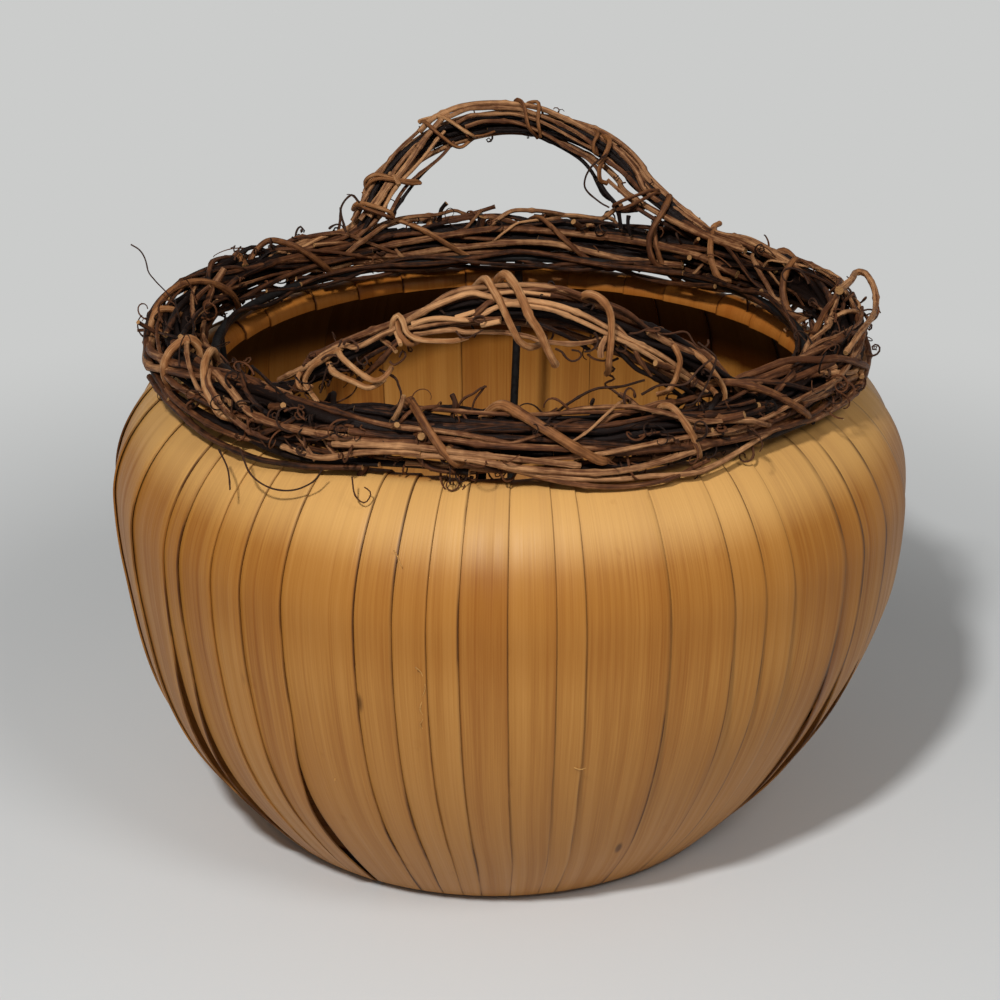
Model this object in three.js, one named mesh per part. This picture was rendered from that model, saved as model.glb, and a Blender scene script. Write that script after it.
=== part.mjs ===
// A basket of thin wood strips bowed over a wire frame, with a wreath of twisted vines round
// its mouth and two vine handles.
// Millimetres, +Z up. The origin is under the middle of the belly, on the plane that the basket
// rests on. The base sits a little to the left of it, as the hand-made body leans.
// The front of the basket faces -Y.

import * as THREE from "three";

// Main sizes of the bowed body, along the middle of a strip's thickness: across the belly, and
// up to the top of the lip
const BELLY_DIAMETER = 272.6;
const BODY_HEIGHT = 160.5;

// Shape of the body, in proportion to its main sizes
const BELLY_RADIUS = BELLY_DIAMETER / 2;
const BASE_RADIUS = 0.609 * BELLY_RADIUS;
const LIP_RADIUS = 0.7924 * BELLY_RADIUS;
const BELLY_HEIGHT = 0.754 * BODY_HEIGHT;

// Folds at the ends of the strips
const BASE_CORNER_RADIUS = 5;
const BASE_FLARE_ANGLE = 47;
const BASE_FOLD_LENGTH = 21;
const LIP_ROLL_RADIUS = 5;
const LIP_FOLD_LENGTH = 1;

// The lower body stands to one side: fully so up to one height, and not at all above another
const BASE_SHIFT = -5.3;
const SHIFT_FADES_FROM = 0.22 * BODY_HEIGHT;
const SHIFT_FADES_TO = 0.59 * BODY_HEIGHT;

// The strips run askew below one height: at the base they have turned this many degrees
const BASE_TWIST_ANGLE = 5;
const TWIST_FADES_TO = 0.6 * BODY_HEIGHT;

// How far the bowed curve holds its direction as it leaves the base, the belly and the lip
const FLARE_PULL = 0.323 * BELLY_RADIUS;
const BELLY_PULL_BELOW = 0.3115 * BODY_HEIGHT;
const BELLY_PULL_ABOVE = 0.1246 * BODY_HEIGHT;
const SHOULDER_PULL = 0.0734 * BELLY_RADIUS;

// Wood strips. The front ones show these widths at the belly, from left to right, and the ones
// round the back share what is left of the belly, wider and narrower in turn.
const STRIP_THICKNESS = 0.9;
const STRIP_LAP = 2.5;
const STRIP_SIDE_GAP = 0.4;
const STRIP_LAP_GAP = 0.6;
const FRONT_START_ANGLE = -156;
const FRONT_STRIPS_SHOW = [
  26.2, 8.8, 16.7, 13.1, 16.2, 25.2, 12.1, 10.5, 9.8, 14.7,
  14.5, 9, 26.4, 21.9, 12.1, 11.9, 25.7, 11.7, 18.3,
];
const BACK_STRIP_COUNT = 20;
const BACK_WIDTH_VARIATION = 0.2;
const BACK_WIDTH_RHYTHM = 2.4;

// Wire frame and base board
const WIRE_DIAMETER = 3;
const POST_ANGLES = { front: -95, right: -4, back: 88, left: 176 };
const BOARD_THICKNESS = 3;
const BOARD_RING_GAP = 0.5;
const SEAT_GAP = 0.3;

// Wreath: vines laid round a core vine, held by one binding vine
const WREATH_BEYOND_LIP_SIDE = 4;
const WREATH_INSIDE_LIP_FRONT = 2;
const VINE_DIAMETER = 4.2;
const CORE_VINE_DIAMETER = 5.6;
const WREATH_LAY_RADIUS = 5.5;
const WREATH_OUTER_TURNS = 7;
const WREATH_FIRST_VINE_TURNS = 4;
const WREATH_TWISTS = 1;
const WREATH_END_GAP = 8;
const BINDING_DIAMETER = 3;
const BINDING_GAP = 0.35;
const BINDING_PITCH = 36;
const UPPER_RING_DROP_ANGLE = 23;

// Handles: a front one and a back one, each flaring outward from the top of the wreath
// The front one is a slack arch, and the back one a round arch.
const FRONT_HANDLE_WIDTH = 0.477 * BELLY_DIAMETER;
const BACK_HANDLE_WIDTH = 0.396 * BELLY_DIAMETER;
const FRONT_HANDLE_RISE = 0.2305 * BODY_HEIGHT;
const BACK_HANDLE_RISE = 0.2336 * BODY_HEIGHT;
const FRONT_HANDLE_ROUNDNESS = 0.1;
const BACK_HANDLE_ROUNDNESS = 1;
const FRONT_HANDLE_FLARE = 37;
const BACK_HANDLE_FLARE = 25;
const HANDLE_VINE_COUNT = 3;
const HANDLE_VINE_DIAMETER = 4.4;
const HANDLE_LAY_RADIUS = 2.95;
const HANDLE_TWISTS = 0.75;
const HANDLE_FOOT_ANGLE = 115;
const HANDLE_BINDING_DIAMETER = 2.6;
const HANDLE_BINDING_PITCH = 22;

// Fineness of the facets
const WIRE_SIDES = 6;
const RING_STEPS = 40;
const VINE_SIDES = 6;
const TURN_STEPS = 24;
const BINDING_SIDES = 5;
const BINDING_LOOP_STEPS = 12;
const HANDLE_STEPS = 14;
const BOARD_SIDES = 48;
const LEANING_STARTS_AT = 0.1;
const LOWER_WALL_STATIONS = [0.2, 0.36, 0.52, 0.68, 0.84];
const SHOULDER_STATIONS = [0, 0.28, 0.52, 0.76];

// The search for the height at which the end of a handle vine is clear of the wreath
const SEAT_SEARCH_FROM = -0.05;
const SEAT_SEARCH_STEP = 0.002;
const SEAT_RIM_POINTS = 12;
const SEAT_LINE_POINTS = 720;

const FULL_TURN = 2 * Math.PI;
const radians = THREE.MathUtils.degToRad;
const UP = new THREE.Vector3(0, 0, 1);
const WIRE_RADIUS = WIRE_DIAMETER / 2;

const basket = new THREE.Group();

function addMesh(name, geometry, colour, roughness, metalness) {
  const material = new THREE.MeshStandardMaterial({ color: colour, roughness, metalness });
  const mesh = new THREE.Mesh(geometry, material);
  mesh.name = name;
  basket.add(mesh);
}

function addWood(name, geometry) {
  addMesh(name, geometry, 0xb5813f, 0.55, 0);
}

function addWire(name, geometry) {
  addMesh(name, geometry, 0x1b1918, 0.45, 0.8);
}

function addVine(name, geometry) {
  addMesh(name, geometry, 0x6b4630, 0.8, 0);
}

function addBinding(name, geometry) {
  addMesh(name, geometry, 0x9a683c, 0.75, 0);
}

// Turns the faces round if they point inward.
function facingOut(positions, index) {
  const corner = (i) => new THREE.Vector3().fromArray(positions, 3 * index[i]);
  let volume = 0;
  for (let i = 0; i < index.length; i += 3) {
    volume += corner(i).dot(corner(i + 1).cross(corner(i + 2)));
  }
  return volume < 0 ? index.slice().reverse() : index;
}

// Joins sections that have the same number of corners into one closed solid. A closed loft runs
// from its last section back to its first, and an open one has a flat cap at each end.
function loft(sections, isClosed) {
  const sides = sections[0].length;
  const positions = sections.flat().flatMap((point) => point.toArray());
  const spans = isClosed ? sections.length : sections.length - 1;
  const index = [];
  for (let i = 0; i < spans; i++) {
    const here = i * sides;
    const next = ((i + 1) % sections.length) * sides;
    for (let j = 0; j < sides; j++) {
      const k = (j + 1) % sides;
      index.push(here + j, next + j, next + k);
      index.push(here + j, next + k, here + k);
    }
  }
  const last = (sections.length - 1) * sides;
  for (let j = 1; j < sides - 1 && !isClosed; j++) {
    index.push(0, j, j + 1);
    index.push(last, last + j + 1, last + j);
  }
  const geometry = new THREE.BufferGeometry();
  geometry.setAttribute("position", new THREE.Float32BufferAttribute(positions, 3));
  geometry.setIndex(facingOut(positions, index));
  geometry.computeVertexNormals();
  return geometry;
}

// One section of a tube: corners round a centre, in the plane of two directions.
function roundSection(centre, across, upward, radius, sides) {
  return Array.from({ length: sides }, (_, j) => {
    const angle = (FULL_TURN * j) / sides;
    return centre
      .clone()
      .addScaledVector(across, radius * Math.cos(angle))
      .addScaledVector(upward, radius * Math.sin(angle));
  });
}

// An open tube along a list of points. Its sections turn with the path and don't spin round it.
function tube(points, diameter, sides) {
  const tangentAt = (i) => {
    const before = points[Math.max(i - 1, 0)];
    const after = points[Math.min(i + 1, points.length - 1)];
    return after.clone().sub(before).normalize();
  };
  const firstTangent = tangentAt(0);
  const helper = Math.abs(firstTangent.z) < Math.SQRT1_2 ? UP : new THREE.Vector3(1, 0, 0);
  let across = new THREE.Vector3().crossVectors(firstTangent, helper).normalize();
  const sections = points.map((point, i) => {
    const tangent = tangentAt(i);
    across = across.clone().addScaledVector(tangent, -across.dot(tangent)).normalize();
    const upward = new THREE.Vector3().crossVectors(tangent, across);
    return roundSection(point, across, upward, diameter / 2, sides);
  });
  return loft(sections, false);
}

// A closed, level ring of wire through centre points given for each angle.
function wireRing(centreAt, steps) {
  const sections = Array.from({ length: steps }, (_, i) => {
    const centre = centreAt((FULL_TURN * i) / steps);
    const outward = new THREE.Vector3(centre.x, centre.y, 0).normalize();
    return roundSection(centre, outward, UP, WIRE_RADIUS, WIRE_SIDES);
  });
  return loft(sections, true);
}

// A point of the body, which leans with its height.
function bodyPoint(radius, angle, height) {
  const shift = BASE_SHIFT * (1 - THREE.MathUtils.smoothstep(height, SHIFT_FADES_FROM, SHIFT_FADES_TO));
  return new THREE.Vector3(shift + radius * Math.cos(angle), radius * Math.sin(angle), height);
}

// The least gap between stretches of one tube that lie more than half a loop apart.
function leastGapToItself(points, diameter, loopSteps) {
  let least = Infinity;
  points.forEach((point, i) => {
    for (let j = i + Math.ceil(loopSteps / 2); j < points.length; j++) {
      least = Math.min(least, point.distanceTo(points[j]));
    }
  });
  return least - diameter;
}

// Wood strips

const narrowestAtLip = (Math.min(...FRONT_STRIPS_SHOW) * (LIP_RADIUS - LIP_ROLL_RADIUS)) / BELLY_RADIUS;
const coveredShare = STRIP_LAP / (narrowestAtLip + STRIP_LAP);

// Each strip leans across its width, so that one long edge lies over the next strip.
const stripLean = (STRIP_THICKNESS + STRIP_LAP_GAP) / (1 - coveredShare);
const layerHalfDepth = (STRIP_THICKNESS + stripLean) / 2;
const lipRollHeight = BODY_HEIGHT - LIP_ROLL_RADIUS;

// Points along a strip, from the end under the base to the end inside the mouth, with how far
// the strip leans and laps over its neighbour there.
function stripStations() {
  const flare = radians(BASE_FLARE_ANGLE);
  const floor = STRIP_THICKNESS / 2;
  const cornerEnd = new THREE.Vector2(
    BASE_RADIUS + BASE_CORNER_RADIUS * Math.sin(flare),
    floor + BASE_CORNER_RADIUS * (1 - Math.cos(flare)),
  );
  const belly = new THREE.Vector2(BELLY_RADIUS, BELLY_HEIGHT);
  const lipTop = new THREE.Vector2(LIP_RADIUS, BODY_HEIGHT);
  const fold = new THREE.LineCurve(
    new THREE.Vector2(BASE_RADIUS - BASE_FOLD_LENGTH, floor),
    new THREE.Vector2(BASE_RADIUS, floor),
  );
  const corner = new THREE.EllipseCurve(
    BASE_RADIUS,
    floor + BASE_CORNER_RADIUS,
    BASE_CORNER_RADIUS,
    BASE_CORNER_RADIUS,
    -Math.PI / 2,
    flare - Math.PI / 2,
  );
  const lowerWall = new THREE.CubicBezierCurve(
    cornerEnd,
    new THREE.Vector2(FLARE_PULL * Math.cos(flare), FLARE_PULL * Math.sin(flare)).add(cornerEnd),
    new THREE.Vector2(0, -BELLY_PULL_BELOW).add(belly),
    belly,
  );
  const shoulder = new THREE.CubicBezierCurve(
    belly,
    new THREE.Vector2(0, BELLY_PULL_ABOVE).add(belly),
    new THREE.Vector2(SHOULDER_PULL, 0).add(lipTop),
    lipTop,
  );
  const roll = new THREE.EllipseCurve(
    LIP_RADIUS,
    lipRollHeight,
    LIP_ROLL_RADIUS,
    LIP_ROLL_RADIUS,
    Math.PI / 2,
    Math.PI,
  );
  const innerFold = new THREE.LineCurve(
    new THREE.Vector2(LIP_RADIUS - LIP_ROLL_RADIUS, lipRollHeight),
    new THREE.Vector2(LIP_RADIUS - LIP_ROLL_RADIUS, lipRollHeight - LIP_FOLD_LENGTH),
  );
  const station = (curve, share, lean, lap) => {
    const point = curve.getPoint(share);
    const tangent = curve.getTangent(share);
    const outward = new THREE.Vector2(tangent.y, -tangent.x);
    return { radius: point.x, height: point.y, outward, lean, lap };
  };
  const sideBySide = [[fold, 0], [corner, 0], [corner, 0.5], [lowerWall, 0]];
  const lapping = [
    ...LOWER_WALL_STATIONS.map((share) => [lowerWall, share]),
    ...SHOULDER_STATIONS.map((share) => [shoulder, share]),
  ];
  lapping.push([roll, 0], [roll, 0.5], [roll, 1], [innerFold, 1]);
  return [
    ...sideBySide.map(([curve, share]) => station(curve, share, 0, -STRIP_SIDE_GAP)),
    station(lowerWall, LEANING_STARTS_AT, stripLean, -STRIP_SIDE_GAP),
    ...lapping.map(([curve, share]) => station(curve, share, stripLean, STRIP_LAP)),
  ];
}

function stripGeometry(stations, fromAngle, toAngle) {
  const sections = stations.map(({ radius, height, outward, lean, lap }) => {
    const twist = radians(BASE_TWIST_ANGLE) * (1 - THREE.MathUtils.smoothstep(height, 0, TWIST_FADES_TO));
    const cornerAt = (angle, offset) =>
      bodyPoint(radius + outward.x * offset, angle + twist, height + outward.y * offset);
    const lappedAngle = toAngle + lap / radius;
    return [
      cornerAt(fromAngle, (STRIP_THICKNESS - lean) / 2),
      cornerAt(lappedAngle, (STRIP_THICKNESS + lean) / 2),
      cornerAt(lappedAngle, (lean - STRIP_THICKNESS) / 2),
      cornerAt(fromAngle, (-lean - STRIP_THICKNESS) / 2),
    ];
  });
  return loft(sections, false);
}

const frontAngles = FRONT_STRIPS_SHOW.map((width) => width / BELLY_RADIUS);
const backAngle = FULL_TURN - frontAngles.reduce((sum, angle) => sum + angle, 0);
const backShares = Array.from(
  { length: BACK_STRIP_COUNT },
  (_, i) => 1 + BACK_WIDTH_VARIATION * Math.sin(BACK_WIDTH_RHYTHM * i),
);
const backShareSum = backShares.reduce((sum, share) => sum + share, 0);
const stripAngles = [...frontAngles, ...backShares.map((share) => (backAngle * share) / backShareSum)];

const stations = stripStations();
let stripStart = radians(FRONT_START_ANGLE);
stripAngles.forEach((angle, i) => {
  const name = "strip_" + String(i + 1).padStart(2, "0");
  addWood(name, stripGeometry(stations, stripStart, stripStart + angle));
  stripStart += angle;
});

// Base board, inside the base ring and on the folded ends of the strips

const foldTop = STRIP_THICKNESS + SEAT_GAP;
const baseRingRadius = BASE_RADIUS - WIRE_RADIUS;
const boardRadius = baseRingRadius - WIRE_RADIUS - BOARD_RING_GAP;
const board = new THREE.CylinderGeometry(boardRadius, boardRadius, BOARD_THICKNESS, BOARD_SIDES);
board.rotateX(Math.PI / 2);
board.translate(BASE_SHIFT, 0, foldTop + BOARD_THICKNESS / 2);
addWood("base_board", board);

// Wreath sizes, which also place the upper ring of the frame

const wreathBundleRadius = WREATH_LAY_RADIUS + VINE_DIAMETER / 2;
const bindingFit = Math.cos(Math.PI / BINDING_LOOP_STEPS);
const bindingLayRadius = (wreathBundleRadius + BINDING_GAP + BINDING_DIAMETER / 2) / bindingFit;
const wreathOuterRadius = bindingLayRadius + BINDING_DIAMETER / 2;
const wreathRadiusX = LIP_RADIUS + WREATH_BEYOND_LIP_SIDE;
const wreathRadiusY = LIP_RADIUS - WREATH_INSIDE_LIP_FRONT;
const wreathToRoll = LIP_ROLL_RADIUS + layerHalfDepth + SEAT_GAP + wreathOuterRadius;
const wreathHeight = lipRollHeight + Math.sqrt(wreathToRoll ** 2 - WREATH_INSIDE_LIP_FRONT ** 2);

// The centre line of the wreath runs straight from one step of its vines to the next.
function wreathStation(step) {
  const angle = (FULL_TURN * step) / TURN_STEPS;
  const [cos, sin] = [Math.cos(angle), Math.sin(angle)];
  const centre = new THREE.Vector3(wreathRadiusX * cos, wreathRadiusY * sin, wreathHeight);
  const outward = new THREE.Vector3(cos / wreathRadiusX, sin / wreathRadiusY, 0).normalize();
  return { centre, outward };
}

// A point beside that line: turned round the vines by `around`, where 0 is outward, a quarter
// turn is up and a half turn is toward the mouth.
function wreathPoint(angle, around, reach) {
  const step = (angle / FULL_TURN) * TURN_STEPS;
  const before = wreathStation(Math.floor(step));
  const after = wreathStation(Math.floor(step) + 1);
  const share = step - Math.floor(step);
  const outward = before.outward.lerp(after.outward, share).normalize();
  return before.centre
    .lerp(after.centre, share)
    .addScaledVector(outward, reach * Math.cos(around))
    .addScaledVector(UP, reach * Math.sin(around));
}

// Wire frame: a ring on the folded ends, a ring inside the rolled lip, an upper ring beside the
// wreath and four posts

const ringToWreath = wreathOuterRadius + SEAT_GAP + WIRE_RADIUS;
const ringAround = Math.PI + radians(UPPER_RING_DROP_ANGLE);
const baseRingHeight = foldTop + WIRE_RADIUS;
const lipRingHeight = BODY_HEIGHT - layerHalfDepth - SEAT_GAP - WIRE_RADIUS;
const baseRingPoint = (angle) => bodyPoint(baseRingRadius, angle, baseRingHeight);
const lipRingPoint = (angle) => bodyPoint(LIP_RADIUS, angle, lipRingHeight);
const upperRingPoint = (angle) => wreathPoint(angle, ringAround, ringToWreath);

addWire("wire_base_ring", wireRing(baseRingPoint, RING_STEPS));
addWire("wire_lip_ring", wireRing(lipRingPoint, RING_STEPS));
addWire("wire_upper_ring", wireRing(upperRingPoint, 2 * TURN_STEPS));

// A wide strip is flat across, so its middle lies this far inside its edges.
const widestAngle = Math.max(...stripAngles) + STRIP_LAP / LIP_RADIUS;
const stripSag = (LIP_RADIUS - LIP_ROLL_RADIUS) * (1 - Math.cos(widestAngle / 2));
const foldInnerRadius = LIP_RADIUS - LIP_ROLL_RADIUS - layerHalfDepth - stripSag;
const postLipRadius = foldInnerRadius - SEAT_GAP - WIRE_RADIUS;

for (const [side, degrees] of Object.entries(POST_ANGLES)) {
  const ringPoint = upperRingPoint(radians(degrees));
  const angle = Math.atan2(ringPoint.y, ringPoint.x);
  const route = [
    bodyPoint(baseRingRadius, angle, baseRingHeight + WIRE_RADIUS + SEAT_GAP),
    bodyPoint(postLipRadius, angle, lipRollHeight - LIP_FOLD_LENGTH),
    bodyPoint(postLipRadius, angle, lipRollHeight),
    ringPoint.addScaledVector(UP, -WIRE_RADIUS - SEAT_GAP),
  ];
  addWire("wire_post_" + side, tube(route, WIRE_DIAMETER, WIRE_SIDES));
}

// Wreath

// A vine that goes round the basket for some turns, one place on in the bundle at each turn.
function wreathVinePoints(firstTurn, turns, layRadius) {
  const endTrim = WREATH_END_GAP / wreathRadiusX;
  const from = firstTurn * FULL_TURN;
  const reach = turns * FULL_TURN - endTrim;
  const steps = turns * TURN_STEPS;
  const twistRate = WREATH_TWISTS + 1 / WREATH_OUTER_TURNS;
  return Array.from({ length: steps + 1 }, (_, i) => {
    const angle = Math.min(from + (turns * FULL_TURN * i) / steps, from + reach);
    return wreathPoint(angle, twistRate * angle, layRadius);
  });
}

const wreathVines = {
  wreath_core_vine: wreathVinePoints(0, 1, 0),
  wreath_vine_1: wreathVinePoints(0, WREATH_FIRST_VINE_TURNS, WREATH_LAY_RADIUS),
  wreath_vine_2: wreathVinePoints(
    WREATH_FIRST_VINE_TURNS,
    WREATH_OUTER_TURNS - WREATH_FIRST_VINE_TURNS,
    WREATH_LAY_RADIUS,
  ),
};
for (const [name, points] of Object.entries(wreathVines)) {
  const diameter = name === "wreath_core_vine" ? CORE_VINE_DIAMETER : VINE_DIAMETER;
  addVine(name, tube(points, diameter, VINE_SIDES));
  console.log(name + " gap to itself " + leastGapToItself(points, diameter, TURN_STEPS).toFixed(2));
}

// Where the four feet of the handles stand, going round from the back right one. The binding
// of the wreath passes under each foot.
const footAround = radians(HANDLE_FOOT_ANGLE);
const frontFootTurn = Math.acos(FRONT_HANDLE_WIDTH / 2 / wreathRadiusX);
const backFootTurn = Math.acos(BACK_HANDLE_WIDTH / 2 / wreathRadiusX);
const footAngles = [
  backFootTurn,
  Math.PI - backFootTurn,
  Math.PI + frontFootTurn,
  FULL_TURN - frontFootTurn,
];

function wreathBindingPoints() {
  const points = [];
  footAngles.forEach((angle, i) => {
    const isLast = i === footAngles.length - 1;
    const span = isLast ? footAngles[0] + FULL_TURN - angle : footAngles[i + 1] - angle;
    const loops = Math.max(1, Math.round((span * wreathRadiusX) / BINDING_PITCH));
    const steps = loops * BINDING_LOOP_STEPS;
    const lastStep = isLast ? steps - BINDING_LOOP_STEPS / 4 : steps;
    for (let step = 0; step < lastStep; step++) {
      const share = step / steps;
      const around = footAround + FULL_TURN * loops * share;
      points.push(wreathPoint(angle + span * share, around, bindingLayRadius));
    }
  });
  return points;
}

const wreathBinding = wreathBindingPoints();
addBinding("wreath_binding", tube(wreathBinding, BINDING_DIAMETER, BINDING_SIDES));
const wreathBindingGap = leastGapToItself(wreathBinding, BINDING_DIAMETER, BINDING_LOOP_STEPS);
console.log("wreath_binding gap to itself " + wreathBindingGap.toFixed(2));

// Handles

const wreathCentreLine = Array.from({ length: SEAT_LINE_POINTS }, (_, i) =>
  wreathPoint((FULL_TURN * i) / SEAT_LINE_POINTS, 0, 0),
);

function distanceToWreath(point) {
  return Math.min(...wreathCentreLine.map((centre) => centre.distanceTo(point)));
}

const handleBundleRadius = HANDLE_LAY_RADIUS + HANDLE_VINE_DIAMETER / 2;
const handleBindingRadius = (handleBundleRadius + BINDING_GAP + HANDLE_BINDING_DIAMETER / 2) / bindingFit;
const footReach = wreathOuterRadius + SEAT_GAP;

// The arch that a handle follows, from its right foot over to its left foot, in a plane that
// leans outward. A round arch is a half oval. A point beside it is turned round it as on the
// wreath.
function handleArch({ width, rise, roundness, flare, side }) {
  const footAngle = side * Math.acos(width / 2 / wreathRadiusX);
  const foot = wreathPoint(footAngle, footAround, footReach);
  const lift = new THREE.Vector3(0, side * Math.sin(radians(flare)), Math.cos(radians(flare)));
  const facing = new THREE.Vector3(0, side * Math.cos(radians(flare)), -Math.sin(radians(flare)));
  return (share, around, reach) => {
    const angle = Math.PI * share;
    const across = roundness * Math.cos(angle) + (1 - roundness) * (1 - 2 * share);
    const acrossRate = -roundness * Math.PI * Math.sin(angle) - 2 * (1 - roundness);
    const outward = new THREE.Vector3(rise * Math.PI * Math.cos(angle), 0, 0)
      .addScaledVector(lift, -foot.x * acrossRate)
      .normalize();
    return new THREE.Vector3(foot.x * across, foot.y, foot.z)
      .addScaledVector(lift, rise * Math.sin(angle))
      .addScaledVector(outward, reach * Math.cos(around))
      .addScaledVector(facing, reach * Math.sin(around));
  };
}

// The first share of a path, from one of its ends, where the round end of a tube that follows
// it stands clear of the wreath.
function seatedShare(pathAt, tubeRadius, from, step) {
  const isClear = (share) => {
    const end = pathAt(share);
    const along = pathAt(share + step).sub(end).normalize();
    const across = new THREE.Vector3().crossVectors(along, UP).normalize();
    const upward = new THREE.Vector3().crossVectors(along, across);
    const rim = roundSection(end, across, upward, tubeRadius, SEAT_RIM_POINTS);
    return Math.min(...rim.map(distanceToWreath)) > wreathOuterRadius + SEAT_GAP;
  };
  let share = from;
  while (!isClear(share)) {
    share += step;
  }
  return share;
}

function addHandle(name, handle) {
  const archAt = handleArch(handle);
  const seatedEnds = (pathAt, tubeRadius) => [
    seatedShare(pathAt, tubeRadius, SEAT_SEARCH_FROM, SEAT_SEARCH_STEP),
    seatedShare(pathAt, tubeRadius, 1 - SEAT_SEARCH_FROM, -SEAT_SEARCH_STEP),
  ];
  for (let i = 0; i < HANDLE_VINE_COUNT; i++) {
    const around = (share) => FULL_TURN * (i / HANDLE_VINE_COUNT + HANDLE_TWISTS * share);
    const vineAt = (share) => archAt(share, around(share), HANDLE_LAY_RADIUS);
    const [start, end] = seatedEnds(vineAt, HANDLE_VINE_DIAMETER / 2);
    const points = Array.from({ length: HANDLE_STEPS + 1 }, (_, k) =>
      vineAt(start + ((end - start) * k) / HANDLE_STEPS),
    );
    addVine(name + "_vine_" + (i + 1), tube(points, HANDLE_VINE_DIAMETER, VINE_SIDES));
  }
  const centreAt = (share) => archAt(share, 0, 0);
  const [start, end] = seatedEnds(centreAt, handleBindingRadius + HANDLE_BINDING_DIAMETER / 2);
  const halfOval = Math.PI * Math.hypot(handle.width / 2, handle.rise) * Math.SQRT1_2;
  const loops = Math.round((halfOval * (end - start)) / HANDLE_BINDING_PITCH);
  const steps = loops * BINDING_LOOP_STEPS;
  const points = Array.from({ length: steps + 1 }, (_, k) =>
    archAt(start + ((end - start) * k) / steps, (FULL_TURN * loops * k) / steps, handleBindingRadius),
  );
  addBinding(name + "_binding", tube(points, HANDLE_BINDING_DIAMETER, BINDING_SIDES));
  const gap = leastGapToItself(points, HANDLE_BINDING_DIAMETER, BINDING_LOOP_STEPS);
  console.log(name + "_binding gap to itself " + gap.toFixed(2));
}

addHandle("front_handle", {
  width: FRONT_HANDLE_WIDTH,
  rise: FRONT_HANDLE_RISE,
  roundness: FRONT_HANDLE_ROUNDNESS,
  flare: FRONT_HANDLE_FLARE,
  side: -1,
});
addHandle("back_handle", {
  width: BACK_HANDLE_WIDTH,
  rise: BACK_HANDLE_RISE,
  roundness: BACK_HANDLE_ROUNDNESS,
  flare: BACK_HANDLE_FLARE,
  side: 1,
});

export default basket;
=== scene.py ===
# %% [markdown]
# # A basket of bowed wood strips and twisted vines
# The basket is built from the inside of its wall outwards: the strips that bow out, the wires
# and the board that hold them, the wreath of vines on the rim, the two handles, and last the
# tendrils and stubs. Every piece takes its place from the same few sizes, in metres, with Z up
# and the front of the basket towards -Y.

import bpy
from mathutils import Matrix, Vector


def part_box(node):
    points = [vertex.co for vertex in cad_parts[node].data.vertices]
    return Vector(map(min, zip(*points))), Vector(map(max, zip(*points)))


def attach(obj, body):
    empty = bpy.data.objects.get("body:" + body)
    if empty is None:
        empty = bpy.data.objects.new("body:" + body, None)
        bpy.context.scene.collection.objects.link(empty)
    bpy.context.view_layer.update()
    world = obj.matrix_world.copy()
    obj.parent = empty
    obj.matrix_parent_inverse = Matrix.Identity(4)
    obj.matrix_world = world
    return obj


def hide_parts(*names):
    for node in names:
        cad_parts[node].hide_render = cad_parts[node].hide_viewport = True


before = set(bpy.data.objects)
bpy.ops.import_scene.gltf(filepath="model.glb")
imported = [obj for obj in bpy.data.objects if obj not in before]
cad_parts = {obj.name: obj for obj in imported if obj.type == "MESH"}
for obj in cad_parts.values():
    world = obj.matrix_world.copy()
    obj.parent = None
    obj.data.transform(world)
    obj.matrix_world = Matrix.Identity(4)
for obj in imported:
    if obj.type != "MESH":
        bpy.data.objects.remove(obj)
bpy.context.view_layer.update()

# %% The tools that this lesson uses
import math
import random

import bpy
import numpy as np
from mathutils import Quaternion, Vector

FULL_TURN = 2 * math.pi
MM = 0.001


def add_object(name, data):
    made = bpy.data.objects.new(name, data)
    bpy.context.scene.collection.objects.link(made)
    return made


print("one millimetre is", MM, "m")

# %% [markdown]
# ## The camera
# The photograph looks down on the basket from a little less than a metre away. A camera far
# off with a long lens would flatten the round mouth, so the distance matters as much as the
# angle. The camera looks along its own axis and needs no shift: it only stands a few
# millimetres to the left of the middle.

# %% Camera
CAMERA_DISTANCE = 0.85
CAMERA_ELEVATION = math.radians(22.8)
CAMERA_AIM_X = -0.0035
CAMERA_AIM_HEIGHT = 0.109
CAMERA_LENS = 87.3
CAMERA_SENSOR = 36

camera = add_object("camera", bpy.data.cameras.new("camera"))
camera.data.lens = CAMERA_LENS
camera.data.sensor_width = CAMERA_SENSOR
camera.location = (
    CAMERA_AIM_X,
    -CAMERA_DISTANCE * math.cos(CAMERA_ELEVATION),
    CAMERA_AIM_HEIGHT + CAMERA_DISTANCE * math.sin(CAMERA_ELEVATION),
)
camera.rotation_euler = (math.pi / 2 - CAMERA_ELEVATION, 0, 0)
bpy.context.scene.camera = camera
print("camera at", [round(value, 3) for value in camera.location])

# %% [markdown]
# ## Helpers for node trees
# A node tree is easier to read when each node is made and wired in one line. The first helper
# adds a node and sets or links its inputs. A name in the inputs finds the first socket of that
# name which is switched on, and a number finds the socket at that place. Sums are so common
# that adding, multiplying and taking away each get a short name.

# %% Helper: add a node
def find_socket(sockets, key):
    if isinstance(key, int):
        return sockets[key]
    return next(socket for socket in sockets if socket.name == key and socket.enabled)


def set_inputs(tree, node, inputs):
    for key, value in inputs.items():
        socket = find_socket(node.inputs, key)
        if isinstance(value, bpy.types.NodeSocket):
            tree.links.new(value, socket)
        else:
            socket.default_value = value


def add_node(tree, kind, inputs=None, **settings):
    made = tree.nodes.new(kind)
    for name, value in settings.items():
        setattr(made, name, value)
    set_inputs(tree, made, inputs or {})
    return made


def output(node, key=0):
    return find_socket(node.outputs, key)


print("a node can be added and wired in one line")

# %% Helpers: sums and vectors
def math_node(tree, operation, *values):
    return output(add_node(tree, "ShaderNodeMath", dict(enumerate(values)), operation=operation))


def vector_math(tree, operation, *values):
    return output(add_node(tree, "ShaderNodeVectorMath", dict(enumerate(values)), operation=operation))


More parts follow.
